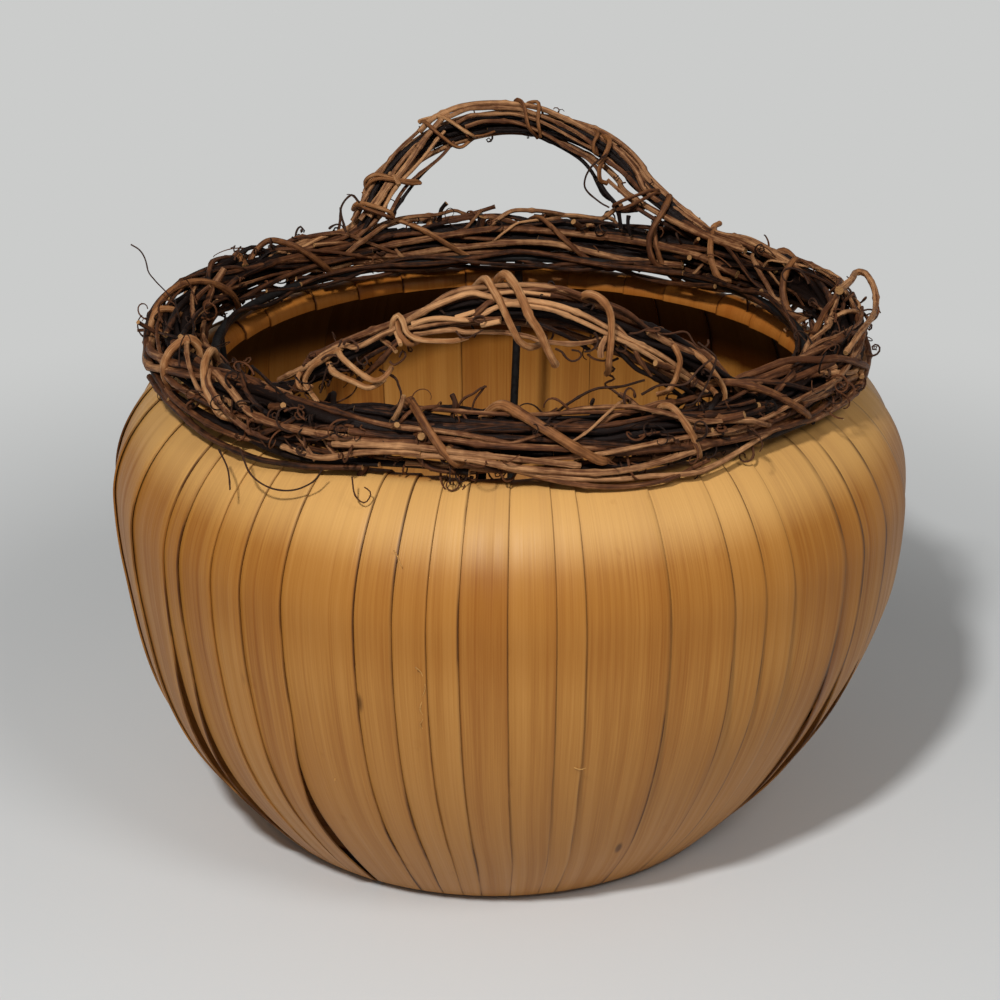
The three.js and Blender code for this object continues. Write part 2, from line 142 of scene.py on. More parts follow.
def chain(operation):
    def joined(tree, first, *others):
        for value in others:
            first = math_node(tree, operation, first, value)
        return first

    return joined


product, total, difference = chain("MULTIPLY"), chain("ADD"), chain("SUBTRACT")


def weighted(tree, *parts):
    """The sum of some values, each given with its share."""
    result = product(tree, *parts[0])
    for value, share in parts[1:]:
        result = math_node(tree, "MULTIPLY_ADD", value, share, result)
    return result


def smooth_ramp(tree, value, low, high, to_low=0.0, to_high=1.0):
    inputs = {0: value, 1: low, 2: high, 3: to_low, 4: to_high}
    return output(add_node(tree, "ShaderNodeMapRange", inputs, interpolation_type="SMOOTHSTEP"))


def combine(tree, x, y, z):
    return output(add_node(tree, "ShaderNodeCombineXYZ", {0: x, 1: y, 2: z}))


def separate(tree, vector):
    return add_node(tree, "ShaderNodeSeparateXYZ", {0: vector}).outputs


print("sums ready")

# %% [markdown]
# A Geometry Nodes tree starts with named inputs for its sizes and ends in real faces with a
# material. It is run on a mesh, and the result is turned into a plain mesh at once and the
# modifier is taken off, because a finished piece must not depend on a live tree.

# %% Helpers: start, finish and run a geometry tree
def start_tree(name, numbers, counts):
    tree = bpy.data.node_groups.new(name, "GeometryNodeTree")
    add_socket = tree.interface.new_socket
    add_socket("Geometry", in_out="OUTPUT", socket_type="NodeSocketGeometry")
    kinds = {"Geometry": "Geometry", **dict.fromkeys(numbers, "Float"), **dict.fromkeys(counts, "Int")}
    kinds["Material"] = "Material"
    for label, kind in kinds.items():
        add_socket(label, in_out="INPUT", socket_type="NodeSocket" + kind)
    group_in = tree.nodes.new("NodeGroupInput")
    return tree, {socket.name: socket for socket in group_in.outputs if socket.name}


def finish_tree(tree, geometry, material):
    realized = add_node(tree, "GeometryNodeRealizeInstances", {"Geometry": geometry})
    smooth = add_node(tree, "GeometryNodeSetShadeSmooth", {"Geometry": output(realized)})
    inputs = {"Geometry": output(smooth), "Material": material}
    painted = add_node(tree, "GeometryNodeSetMaterial", inputs)
    add_node(tree, "NodeGroupOutput", {0: output(painted)})


def run_tree(tree, name, source_mesh, values):
    carrier = add_object(name + "_carrier", source_mesh)
    modifier = carrier.modifiers.new("shape", "NODES")
    modifier.node_group = tree
    for item in tree.interface.items_tree:
        if item.in_out == "INPUT" and item.name in values:
            modifier[item.identifier] = values[item.name]
    graph = bpy.context.evaluated_depsgraph_get()
    mesh = bpy.data.meshes.new_from_object(carrier.evaluated_get(graph))
    bpy.data.objects.remove(carrier)
    mesh.name = name
    return add_object(name, mesh)


print("tree helpers ready")

# %% [markdown]
# A piece is declared in one place: it rides on the basket's only body, and it may stand for
# solids of the frame.

# %% Helper: declare a piece
def declare(piece, nodes=()):
    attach(piece, "root")
    if nodes:
        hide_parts(*nodes)
    return piece


# %% [markdown]
# ## Colours
# Colours are picked as a screen shows them and turned into the linear values that a shader
# works in.

# %% Helper: colours
def linear(red, green, blue):
    values = [value / 255 for value in (red, green, blue)]
    return tuple(((v + 0.055) / 1.055) ** 2.4 if v > 0.04045 else v / 12.92 for v in values) + (1,)


STRAW = linear(198, 144, 78)
TAN = linear(172, 118, 54)
CARAMEL = linear(142, 86, 32)
BURNT = linear(58, 27, 10)
AMBER = linear(146, 88, 24)
LIP_BROWN = linear(176, 98, 30)
SHADED_WOOD = linear(26, 12, 5)
WEATHERED = linear(174, 122, 68)
# pale wood, which on the strips is also the colour of the painted highlight on the shoulder
PALE_WOOD_AND_HIGHLIGHT = linear(232, 186, 116)
BARK_BLACK = linear(22, 11, 7)
BARK_BROWN = linear(98, 58, 33)
BARK_PALE = linear(198, 146, 99)
BINDING_DARK = linear(76, 42, 22)
BINDING_BROWN = linear(144, 94, 54)
BINDING_PALE = linear(208, 162, 114)
TENDRIL_BLACK = linear(18, 10, 7)
TENDRIL_BROWN = linear(58, 37, 26)
CUT_WOOD = linear(166, 122, 76)
WIRE_BLACK = linear(14, 12, 12)
WIRE_WORN = linear(30, 26, 24)
print("strip wood from", [round(v, 2) for v in BURNT[:3]], "to", [round(v, 2) for v in STRAW[:3]])

# %% [markdown]
# ## Material: strip wood
# The strips are thin slices of pale wood whose grain runs straight along them. Object
# coordinates would let the grain run through the bend, so the pattern reads the strip's own UV
# map, which holds metres across and metres along. Noise that is squeezed across and stretched
# along gives the fibres. A number kept on each strip makes some of them darker than others.

# %% Helpers for materials
def start_material(name):
    material = bpy.data.materials.new(name)
    material.use_nodes = True
    tree = material.node_tree
    tree.nodes.clear()
    shader = tree.nodes.new("ShaderNodeBsdfPrincipled")
    add_node(tree, "ShaderNodeOutputMaterial", {0: shader.outputs[0]})
    return material, tree, shader


def attribute(tree, name, key="Fac"):
    return output(add_node(tree, "ShaderNodeAttribute", attribute_name=name), key)


def object_place(tree):
    return output(add_node(tree, "ShaderNodeTexCoord"), "Object")


def stretched_noise(tree, vector, scale, detail=2.0, roughness=0.5, distortion=0.0):
    scaled = vector_math(tree, "MULTIPLY", vector, scale)
    inputs = {"Vector": scaled, "Scale": 1.0, "Detail": detail, "Roughness": roughness}
    inputs["Distortion"] = distortion
    return output(add_node(tree, "ShaderNodeTexNoise", inputs))


def colour_ramp(tree, value, stops):
    ramp = add_node(tree, "ShaderNodeValToRGB", {0: value})
    elements = ramp.color_ramp.elements
    while len(elements) < len(stops):
        elements.new(0.5)
    for element, (place, colour) in zip(elements, stops):
        element.position = place
        element.color = colour
    return output(ramp)


def mix_colour(tree, factor, first, second):
    inputs = {"Factor": factor, "A": first, "B": second}
    return output(add_node(tree, "ShaderNodeMix", inputs, data_type="RGBA"), "Result")


def patterned(tree, place, patterns, relief):
    """The noises of some patterns, their sum by their shares, and the relief that some of them leave."""
    noises = {name: stretched_noise(tree, place, *row[:-1]) for name, row in patterns.items()}
    shade = weighted(tree, *[(noises[name], row[-1]) for name, row in patterns.items()])
    return noises, shade, weighted(tree, *[(noises[name], share) for name, share in relief.items()])


def finish_surface(tree, shader, colour, roughness, height, bump, **others):
    distance, strength = bump
    relief = {"Height": height, "Distance": distance, "Strength": strength}
    normal = output(add_node(tree, "ShaderNodeBump", relief))
    set_inputs(tree, shader, {"Base Color": colour, "Roughness": roughness, "Normal": normal, **others})


print("material helpers ready")

# %% [markdown]
# Each pattern of the grain has its scale across and along, its detail, its roughness and its
# share of the grain. Over the grain lie stains, and a painted highlight on the outer shoulder.
# Each follows a height, a distance from the middle of the basket or a noise. A ramp below holds
# two values of what it follows and its share at each, or only the two values where the share
# goes from none to full.

# %% Patterns and stains of the strip wood
GRAIN_PATTERNS = {
    "fibre": ((1300, 14, 1), 3, 0.65, 0.26),
    "streak": ((300, 5, 1), 4, 0.6, 0.24),
    "band": ((130, 1.5, 1), 2, 0.5, 0.26),
    "cloud": ((30, 9, 1), 3, 0.5, 0.24),
}
GRAIN_COLOURS = [(0.22, BURNT), (0.38, CARAMEL), (0.52, TAN), (0.74, STRAW)]
WEATHERED_BY_HEIGHT = (0.02, 0.125, 0.42, 0.0)
AMBER_RISES, AMBER_FALLS, AMBER_SHARE = (0.098, 0.118), (0.146, 0.132), 0.36
# painted highlight: paler wood on the outer shoulder, where the lamp's highlight falls
PAINTED_HIGHLIGHT_BY_HEIGHT, PAINTED_HIGHLIGHT_BY_RADIUS = (0.138, 0.152, 0.0, 0.42), (0.107, 0.112)
LIP_STAIN_BY_RADIUS, LIP_STAIN_ABOVE = (0.112, 0.107, 0.0, 0.55), 0.148
STAIN_SCALE, STAIN_BY_NOISE = (90, 60, 1), (0.66, 0.76, 0.0, 0.35)
KNOT_SCALE, KNOT_ABOVE, KNOT_BY_DISTANCE, KNOT_SHARE = (60, 24, 1), 0.86, (0.12, 0.04), 0.7
SEAM_WIDTH, SEAM_MOST = 0.0009, 0.9
SEAM_PATCH_SCALE, SEAM_BY_NOISE = (12, 34, 1), (0.38, 0.6, 0.35, 1.0)
# painted shade inside the basket: a little darker all over, and much darker in a band under the lip
INSIDE_PAINTED_SHADE_SHARE = 0.12
PAINTED_SHADE_UNDER_LIP_BY_HEIGHT = (0.121, 0.133, 0.0, 0.88)
WOOD_GLOSS_BY_STREAK = (0.3, 0.7, 0.54, 0.4)
WOOD_SPECULAR = {"Specular IOR Level": 0.17}
WOOD_RELIEF = {"streak": 0.5, "fibre": 0.5}
WOOD_BUMP = (0.0004, 0.5)


def wood_stains_and_highlight(tree, place):
    """Pairs of a share and a colour, in the order in which they lie over the grain."""
    x, y, height = separate(tree, object_place(tree))
    radius = math_node(tree, "SQRT", total(tree, product(tree, x, x), product(tree, y, y)))
    amber = product(tree, smooth_ramp(tree, height, *AMBER_RISES), smooth_ramp(tree, height, *AMBER_FALLS))
    # painted highlight on the outer shoulder
    painted_highlight = smooth_ramp(tree, height, *PAINTED_HIGHLIGHT_BY_HEIGHT)
    on_lip = smooth_ramp(tree, radius, *LIP_STAIN_BY_RADIUS)
    knot_place = vector_math(tree, "MULTIPLY", place, KNOT_SCALE)
    knot = add_node(tree, "ShaderNodeTexVoronoi", {"Vector": knot_place, "Scale": 1.0})
    is_knot = math_node(tree, "GREATER_THAN", separate(tree, output(knot, "Color"))[0], KNOT_ABOVE)
    near_knot = smooth_ramp(tree, output(knot, "Distance"), *KNOT_BY_DISTANCE)
    seam = attribute(tree, "seam")
    edge = smooth_ramp(tree, attribute(tree, "from_edge"), product(tree, seam, SEAM_WIDTH), 0.0)
    patchy = smooth_ramp(tree, stretched_noise(tree, place, SEAM_PATCH_SCALE, 3), *SEAM_BY_NOISE)
    return height, [
        (smooth_ramp(tree, height, *WEATHERED_BY_HEIGHT), WEATHERED),
        (product(tree, amber, AMBER_SHARE), AMBER),
        (product(tree, painted_highlight, smooth_ramp(tree, radius, *PAINTED_HIGHLIGHT_BY_RADIUS)), PALE_WOOD_AND_HIGHLIGHT),
        (product(tree, on_lip, math_node(tree, "GREATER_THAN", height, LIP_STAIN_ABOVE)), LIP_BROWN),
        (smooth_ramp(tree, stretched_noise(tree, place, STAIN_SCALE, 5), *STAIN_BY_NOISE), CARAMEL),
        (product(tree, is_knot, near_knot, KNOT_SHARE), BURNT),
        (product(tree, edge, math_node(tree, "MINIMUM", seam, SEAM_MOST), patchy), BURNT),
    ]


print("patterns in the grain:", ", ".join(GRAIN_PATTERNS))

# %% Strip wood
def make_strip_wood(name, inside):
    """The side of a strip that faces into the basket takes painted shade: a little darker all over, and
    darkest in a band under the lip.
    """
    material, tree, shader = start_material(name)
    place = output(add_node(tree, "ShaderNodeUVMap", uv_map="UVMap"))
    noises, grain, relief = patterned(tree, place, GRAIN_PATTERNS, WOOD_RELIEF)
    wood = colour_ramp(tree, total(tree, grain, attribute(tree, "tone")), GRAIN_COLOURS)
    height, stains_and_painted_light = wood_stains_and_highlight(tree, place)
    if inside:
        # painted shade: the band under the lip where the lip's shadow falls, and the whole inside a little
        # darker
        painted_shade_under_lip = smooth_ramp(tree, height, *PAINTED_SHADE_UNDER_LIP_BY_HEIGHT)
        stains_and_painted_light += [(INSIDE_PAINTED_SHADE_SHARE, CARAMEL), (painted_shade_under_lip, SHADED_WOOD)]
    for share, colour in stains_and_painted_light:
        wood = mix_colour(tree, share, wood, colour)
    gloss = smooth_ramp(tree, noises["streak"], *WOOD_GLOSS_BY_STREAK)
    finish_surface(tree, shader, wood, gloss, relief, WOOD_BUMP, **WOOD_SPECULAR)
    return material


strip_wood = make_strip_wood("strip_wood", False)
strip_wood_inside_shaded = make_strip_wood("strip_wood_inside_shaded", True)
print("made", strip_wood.name, "and", strip_wood_inside_shaded.name)

# %% [markdown]
# ## Material: bark
# Each vine carries its own coordinates: where a point lies round the vine and how far along
# it. Bark has fine wrinkles along the vine, pale patches where it has rubbed off, and a pale
# core where the vine was cut. The same tree makes the dark vines, the tan binding vines, the
# thin tendrils and the fibres that stand off the strips, with other colours.

# %% Bark
BARK_PATTERNS = {
    "patch": ((0.8, 0.8, 55), 4, 0.5, 0.42),
    "wrinkle": ((3.4, 3.4, 120), 5, 0.7, 0.45),
    "ring": ((0.25, 0.25, 420), 1, 0.5, 0.13),
}
BARK_STOPS = (0.34, 0.5, 0.7)
BARK_RELIEF = {"ring": 0.3, "wrinkle": 0.7}
BARK_BUMP = (0.0008, 0.7)
BARK_SPECULAR = {"Specular IOR Level": 0.15}
CUT_SHOWS = (0.96, 0.995)


def make_bark(name, colours, roughness, cut_colour=CUT_WOOD):
    material, tree, shader = start_material(name)
    place = attribute(tree, "bark", "Vector")
    _, shade, relief = patterned(tree, place, BARK_PATTERNS, BARK_RELIEF)
    shade = total(tree, shade, attribute(tree, "tone"))
    skin = colour_ramp(tree, shade, list(zip(BARK_STOPS, colours)))
    cut = smooth_ramp(tree, attribute(tree, "cut"), *CUT_SHOWS)
    skin = mix_colour(tree, cut, skin, cut_colour)
    finish_surface(tree, shader, skin, roughness, relief, BARK_BUMP, **BARK_SPECULAR)
    return material


dark_vine = make_bark("dark_vine", (BARK_BLACK, BARK_BROWN, BARK_PALE), 0.5)
binding_vine = make_bark("binding_vine", (BINDING_DARK, BINDING_BROWN, BINDING_PALE), 0.5)
tendril_bark = make_bark("tendril_bark", (TENDRIL_BLACK, TENDRIL_BROWN, BARK_BROWN), 0.6, TENDRIL_BROWN)
torn_wood = make_bark("torn_wood", (TAN, STRAW, PALE_WOOD_AND_HIGHLIGHT), 0.6)
print("made", dark_vine.name + ",", binding_vine.name + ",", tendril_bark.name, "and", torn_wood.name)

# %% [markdown]
# ## Materials: frame wire and base board
# The wire is painted black, with a thin uneven coat. The board is plain sawn wood, seen only
# from above and below.

# %% Wire paint and board wood
COAT_SCALE, COAT_COLOURS = (600, 600, 600), [(0.3, WIRE_BLACK), (0.8, WIRE_WORN)]
COAT_GLOSS, COAT_BUMP = (0.3, 0.7, 0.5, 0.75), (0.0002, 0.4)
COAT_SPECULAR = {"Specular IOR Level": 0.2}
FIGURE_SCALE, FIGURE_SHARE = (14, 110, 110), 0.7
PORE_SCALE, PORE_SHARE = (60, 1400, 1400), 0.3
BOARD_COLOURS = [(0.3, BURNT), (0.45, CARAMEL), (0.62, TAN)]
BOARD_ROUGHNESS, BOARD_BUMP = 0.65, (0.0005, 0.5)


def make_wire_paint():
    material, tree, shader = start_material("frame_wire")
    coat = stretched_noise(tree, object_place(tree), COAT_SCALE)
    colour, gloss = colour_ramp(tree, coat, COAT_COLOURS), smooth_ramp(tree, coat, *COAT_GLOSS)
    finish_surface(tree, shader, colour, gloss, coat, COAT_BUMP, **COAT_SPECULAR)
    return material


def make_board_wood():
    material, tree, shader = start_material("board_wood")
    place = object_place(tree)
    figure = stretched_noise(tree, place, FIGURE_SCALE, detail=5, roughness=0.6, distortion=0.6)
    pores = stretched_noise(tree, place, PORE_SCALE)
    grain = weighted(tree, (figure, FIGURE_SHARE), (pores, PORE_SHARE))
    colour = colour_ramp(tree, grain, BOARD_COLOURS)
    finish_surface(tree, shader, colour, BOARD_ROUGHNESS, grain, BOARD_BUMP)
    return material


frame_wire = make_wire_paint()
board_wood = make_board_wood()
print("made", frame_wire.name, "and", board_wood.name)

# %% [markdown]
# ## The bowed line of a strip
# All strips follow one line, seen in section: flat under the base, round the foot, out to the
# belly, in to the lip, over the lip and a little way down inside. It is put together from
# straight pieces, arcs and two Bezier curves, as pairs of radius and height.

# %% Sizes of the body
STRIP_THICKNESS = 0.0009
BELLY_RADIUS = 0.1363
BODY_HEIGHT = 0.1605
BASE_RADIUS = 0.609 * BELLY_RADIUS
LIP_RADIUS = 0.7924 * BELLY_RADIUS
BELLY_HEIGHT = 0.754 * BODY_HEIGHT
BASE_CORNER_RADIUS = 0.005
BASE_FLARE_ANGLE = math.radians(47)
BASE_FOLD_LENGTH = 0.021
LIP_ROLL_RADIUS = 0.005
LIP_FOLD_LENGTH = 0.001
ROLL_HEIGHT = BODY_HEIGHT - LIP_ROLL_RADIUS
FLARE_PULL = 0.323 * BELLY_RADIUS
BELLY_PULL_BELOW = 0.3115 * BODY_HEIGHT
BELLY_PULL_ABOVE = 0.1246 * BODY_HEIGHT
SHOULDER_PULL = 0.0734 * BELLY_RADIUS
BASE_SHIFT = -0.0053
SHIFT_FADES_FROM = 0.22 * BODY_HEIGHT
SHIFT_FADES_TO = 0.59 * BODY_HEIGHT
BASE_TWIST_ANGLE = math.radians(5)
TWIST_FADES_TO = 0.6 * BODY_HEIGHT
CORNER_POINTS, WALL_POINTS, SHOULDER_POINTS, ROLL_POINTS = 6, 60, 30, 12
print("belly", 2 * BELLY_RADIUS, "m wide, body", BODY_HEIGHT, "m high")

# %% The line from base to lip
def bezier(start, pull_out, pull_in, end, count):
    t = np.linspace(0, 1, count)[:, None]
    points = zip((1, 3, 3, 1), np.array([start, pull_out, pull_in, end]))
    return sum(weight * (1 - t) ** (3 - i) * t**i * point for i, (weight, point) in enumerate(points))


def arc(centre, radius, from_angle, to_angle, count):
    angles = np.linspace(from_angle, to_angle, count)
    return centre + radius * np.stack([np.cos(angles), np.sin(angles)], axis=1)


def bowed_line():
    floor = STRIP_THICKNESS / 2
    flare = BASE_FLARE_ANGLE
    corner_centre = (BASE_RADIUS, floor + BASE_CORNER_RADIUS)
    corner = arc(corner_centre, BASE_CORNER_RADIUS, -math.pi / 2, flare - math.pi / 2, CORNER_POINTS)
    foot = corner[-1]
    flare_pull = foot + FLARE_PULL * np.array([math.cos(flare), math.sin(flare)])
    belly = (BELLY_RADIUS, BELLY_HEIGHT)
    pull_below, pull_above = BELLY_HEIGHT - BELLY_PULL_BELOW, BELLY_HEIGHT + BELLY_PULL_ABOVE
    lip_pull, lip_top = (LIP_RADIUS + SHOULDER_PULL, BODY_HEIGHT), (LIP_RADIUS, BODY_HEIGHT)
    wall = bezier(foot, flare_pull, (BELLY_RADIUS, pull_below), belly, WALL_POINTS)
    shoulder = bezier(belly, (BELLY_RADIUS, pull_above), lip_pull, lip_top, SHOULDER_POINTS)
    roll = arc((LIP_RADIUS, ROLL_HEIGHT), LIP_ROLL_RADIUS, math.pi / 2, math.pi, ROLL_POINTS)
    fold_start = [[BASE_RADIUS - BASE_FOLD_LENGTH, floor]]
    fold_end = [[LIP_RADIUS - LIP_ROLL_RADIUS, ROLL_HEIGHT - LIP_FOLD_LENGTH]]
    return np.concatenate([fold_start, corner, wall[1:], shoulder[1:], roll[1:], fold_end])


def lengths_along(points):
    return np.concatenate([[0], np.cumsum(np.linalg.norm(np.diff(points, axis=0), axis=1))])


line = bowed_line()
line_lengths = lengths_along(line)
STRIP_LENGTH = line_lengths[-1]
LAP_STARTS = float(line_lengths[CORNER_POINTS] / STRIP_LENGTH)
LAP_IS_FULL = float(line_lengths[CORNER_POINTS + WALL_POINTS // 2] / STRIP_LENGTH)
print("a strip is", round(STRIP_LENGTH * 1000), "mm long and laps from", round(LAP_STARTS, 2))

# %% [markdown]
# ## The tree that bows a strip
# A strip could be modelled by hand and bent, but there are many of them, each with its own
# width, so one Geometry Nodes tree makes them all. It lays a grid out, looks up the place of
# each row on the bowed line and the place of each column between two angles, and leans the
# strip so that one long edge lies over the next strip. Low down the strips turn a little, as
# they do on the frame. Slow noise makes the edges waver, as split wood does.

# %% Tree: where a point of a strip lies
STRIP_NUMBERS = (
    "From Angle", "To Angle", "Lap", "Side Gap", "Lean", "Crown", "Waver", "Lift", "Start Lift",
    "Opening", "Lift Height", "Tone", "Seam", "Seed",
)
WAVER_RATE = 2.5
CROWN_FADES = (0.138, 0.156, 1.0, 0.25)
LIFT_REACH = 0.055


def where_lifted(tree, given, height):
    from_lift = math_node(tree, "ABSOLUTE", difference(tree, height, given["Lift Height"]))
    return smooth_ramp(tree, from_lift, LIFT_REACH, 0.0)


def strip_angle(tree, given, across, along, place, lapping):
    radius = place[0]
    full_lap = total(tree, given["Lap"], given["Side Gap"])
    opening = product(tree, where_lifted(tree, given, place[2]), given["Opening"])
    lap = difference(tree, product(tree, lapping, full_lap), given["Side Gap"], opening)
    noise_place = combine(tree, product(tree, along, WAVER_RATE), given["Seed"], across)
    noise = add_node(tree, "ShaderNodeTexNoise", {"Vector": noise_place, "Scale": 1.0, "Detail": 1.0})
    waver = product(tree, difference(tree, output(noise), 0.5), given["Waver"], lapping)
    span = difference(tree, given["To Angle"], given["From Angle"])
    span = total(tree, span, math_node(tree, "DIVIDE", lap, radius))
    angle = math_node(tree, "MULTIPLY_ADD", span, across, given["From Angle"])
    return span, total(tree, angle, math_node(tree, "DIVIDE", waver, radius))


def strip_offset(tree, given, across, centred, lapping, height):
    lean = product(tree, lapping, given["Lean"], centred)
    bow = math_node(tree, "MULTIPLY_ADD", product(tree, centred, centred), -4.0, 1.0)
    crown = product(tree, bow, given["Crown"], lapping, smooth_ramp(tree, height, *CROWN_FADES))
    end_lift = product(tree, given["Lift"], across)
    start_lift = product(tree, given["Start Lift"], difference(tree, 1.0, across))
    lift = product(tree, where_lifted(tree, given, height), total(tree, end_lift, start_lift))
    return total(tree, lean, crown, lift)


print("a strip has", len(STRIP_NUMBERS), "sizes of its own")

# %% Tree: bowed strip
def store_values(tree, geometry, values):
    for name, (kind, domain, value) in values.items():
        inputs = {"Geometry": geometry, "Name": name, "Value": value}
        kind_of_node = "GeometryNodeStoreNamedAttribute"
        geometry = output(add_node(tree, kind_of_node, inputs, data_type=kind, domain=domain))
    return geometry


def make_strip_tree():
    tree, given = start_tree("bowed strip", STRIP_NUMBERS, ("Rows", "Columns"))
    grid_inputs = {"Size X": 1.0, "Size Y": 1.0, "Vertices X": given["Columns"], "Vertices Y": given["Rows"]}
    grid = add_node(tree, "GeometryNodeMeshGrid", grid_inputs)
    cell = separate(tree, output(tree.nodes.new("GeometryNodeInputPosition")))
    centred = cell[0]
    across = total(tree, cell[0], 0.5)
    along = total(tree, cell[1], 0.5)
    line_curve = add_node(tree, "GeometryNodeMeshToCurve", {"Mesh": given["Geometry"]})
    sample_inputs = {"Curves": output(line_curve), "Factor": along}
    sample = add_node(tree, "GeometryNodeSampleCurve", sample_inputs, mode="FACTOR")
    place = separate(tree, output(sample, "Position"))
    tangent = separate(tree, output(sample, "Tangent"))
    lapping = smooth_ramp(tree, along, LAP_STARTS, LAP_IS_FULL)

    span, angle = strip_angle(tree, given, across, along, place, lapping)
    twist = smooth_ramp(tree, place[2], 0.0, TWIST_FADES_TO, BASE_TWIST_ANGLE, 0.0)
    angle = total(tree, angle, twist)
    offset = strip_offset(tree, given, across, centred, lapping, place[2])
    radius = math_node(tree, "MULTIPLY_ADD", tangent[2], offset, place[0])
    height = difference(tree, place[2], product(tree, tangent[0], offset))
    shift = smooth_ramp(tree, height, SHIFT_FADES_FROM, SHIFT_FADES_TO, BASE_SHIFT, 0.0)
    x = total(tree, product(tree, math_node(tree, "COSINE", angle), radius), shift)
    y = product(tree, math_node(tree, "SINE", angle), radius)

    width = product(tree, span, BELLY_RADIUS)
    uv_x = math_node(tree, "MULTIPLY_ADD", centred, width, given["Seed"])
    uv_y = math_node(tree, "MULTIPLY_ADD", along, STRIP_LENGTH, given["Seed"])
    share_from_edge = difference(tree, 0.5, math_node(tree, "ABSOLUTE", centred))
    kept = {
        "UVMap": ("FLOAT2", "CORNER", combine(tree, uv_x, uv_y, 0.0)),
        "tone": ("FLOAT", "POINT", given["Tone"]),
        "seam": ("FLOAT", "POINT", given["Seam"]),
        "from_edge": ("FLOAT", "POINT", product(tree, share_from_edge, span, place[0])),
    }
    geometry = store_values(tree, output(grid), kept)
    bowed_inputs = {"Geometry": geometry, "Position": combine(tree, x, y, height)}
    finish_tree(tree, output(add_node(tree, "GeometryNodeSetPosition", bowed_inputs)), given["Material"])
    return tree


strip_tree = make_strip_tree()
print("strip tree has", len(strip_tree.nodes), "nodes")

# %% [markdown]
# ## The strips
# The frame's solids already say where each strip begins and ends, so the angles are read off
# them. Then each strip gets what makes it its own: a darker or paler tone, a little crown
# across its width, and an edge that stands off or leaves a dark gap here and there.

# %% Where each strip begins and ends
STRIP_NODES = sorted(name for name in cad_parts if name.startswith("strip_"))
SOLID_SIDE_GAP = 0.0004
FOLD_RADIUS = BASE_RADIUS - BASE_FOLD_LENGTH
FOLD_MARGIN = 0.001


def strip_angles(name):
    """The angles of a solid's two long edges, from its corners at the inner end of the fold."""
    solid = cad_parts[name]
    corners = [solid.matrix_world @ vertex.co for vertex in solid.data.vertices]
    places = [(corner.x - BASE_SHIFT, corner.y) for corner in corners if corner.z < 2 * STRIP_THICKNESS]
    angles = [math.atan2(y, x) for x, y in places if math.hypot(x, y) < FOLD_RADIUS + FOLD_MARGIN]
    first = angles[0] - BASE_TWIST_ANGLE
    turned = [(angle - angles[0] + math.pi) % FULL_TURN - math.pi for angle in angles]
    return first + min(turned), first + max(turned) + SOLID_SIDE_GAP / FOLD_RADIUS


spans = {name: strip_angles(name) for name in STRIP_NODES}
print(len(spans), "strips; the first spans", [round(math.degrees(a), 1) for a in spans[STRIP_NODES[0]]])

# %% Helper: a mesh that holds only lines
def lines_mesh(name, paths, values=None):
    points = [tuple(point) for path in paths for point in path]
    edges = []
    start = 0
    for path in paths:
        edges += [(start + i, start + i + 1) for i in range(len(path) - 1)]
        start += len(path)
    mesh = bpy.data.meshes.new(name)
    mesh.from_pydata(points, edges, [])
    for label, numbers in (values or {}).items():
        kept = mesh.attributes.new(label, "FLOAT", "POINT")
        kept.data.foreach_set("value", np.asarray(numbers, dtype=np.float32))
    return mesh


line_mesh = lines_mesh("bowed line", [[(radius, 0, height) for radius, height in line]])
print("bowed line has", len(line_mesh.vertices), "points")

# %% [markdown]
# The first strips face the front, and their seams and tones are chosen one by one. The strips
# behind draw theirs. For a strip that stands off, four numbers say how far its end edge and
# its start edge do so, how far it leaves its neighbour, and the height where it does so most.

# %% What makes each strip its own
STRIP_LAP = 0.0025
STRIP_LEAN = 0.001
STRIP_LOOKS_GAP = 0.00005
FLATNESS = 0.5
STRIP_SEAMS = [
    1, 1, 0.4, 0.6, 0.7, 0.9, 1.1, 0.5, 1, 0.6, 0.5, 0.6, 1.2, 0.8, 0.9, 0.5, 2.2, 2.2, 2.4,
]
STRIP_TONES = [
    -0.03, 0, -0.02, 0.02, -0.01, 0.01, -0.01, 0.03, 0.02, -0.04, -0.01, 0.03, 0, 0.01, 0.02, 0, -0.02,
    -0.03, -0.01,
]
STRIP_LIFTS = {
    1: (0.001, 0, 0.004, 0.055),
    2: (0.0008, 0, 0.0035, 0.04),
    5: (0.0004, 0, 0.0042, 0.035),
    14: (0.0008, 0, 0, 0.08),
    17: (0.0004, 0, 0.0034, 0.065),
    18: (0.0004, 0.0025, 0.0036, 0.058),
    19: (0.0004, 0.003, 0.0036, 0.052),
    20: (0, 0.0028, 0, 0.048),
}
STRIP_SEED, GRAIN_SHIFT = 100, 0.37
STRIP_ROWS, STRIP_COLUMNS = 96, 9
CROWN_RANGE, WAVER_RANGE = (-0.0002, 0.0002), (0.0003, 0.001)
BACK_TONES, BACK_SEAMS = (-0.08, 0.05), (0.5, 1.2)


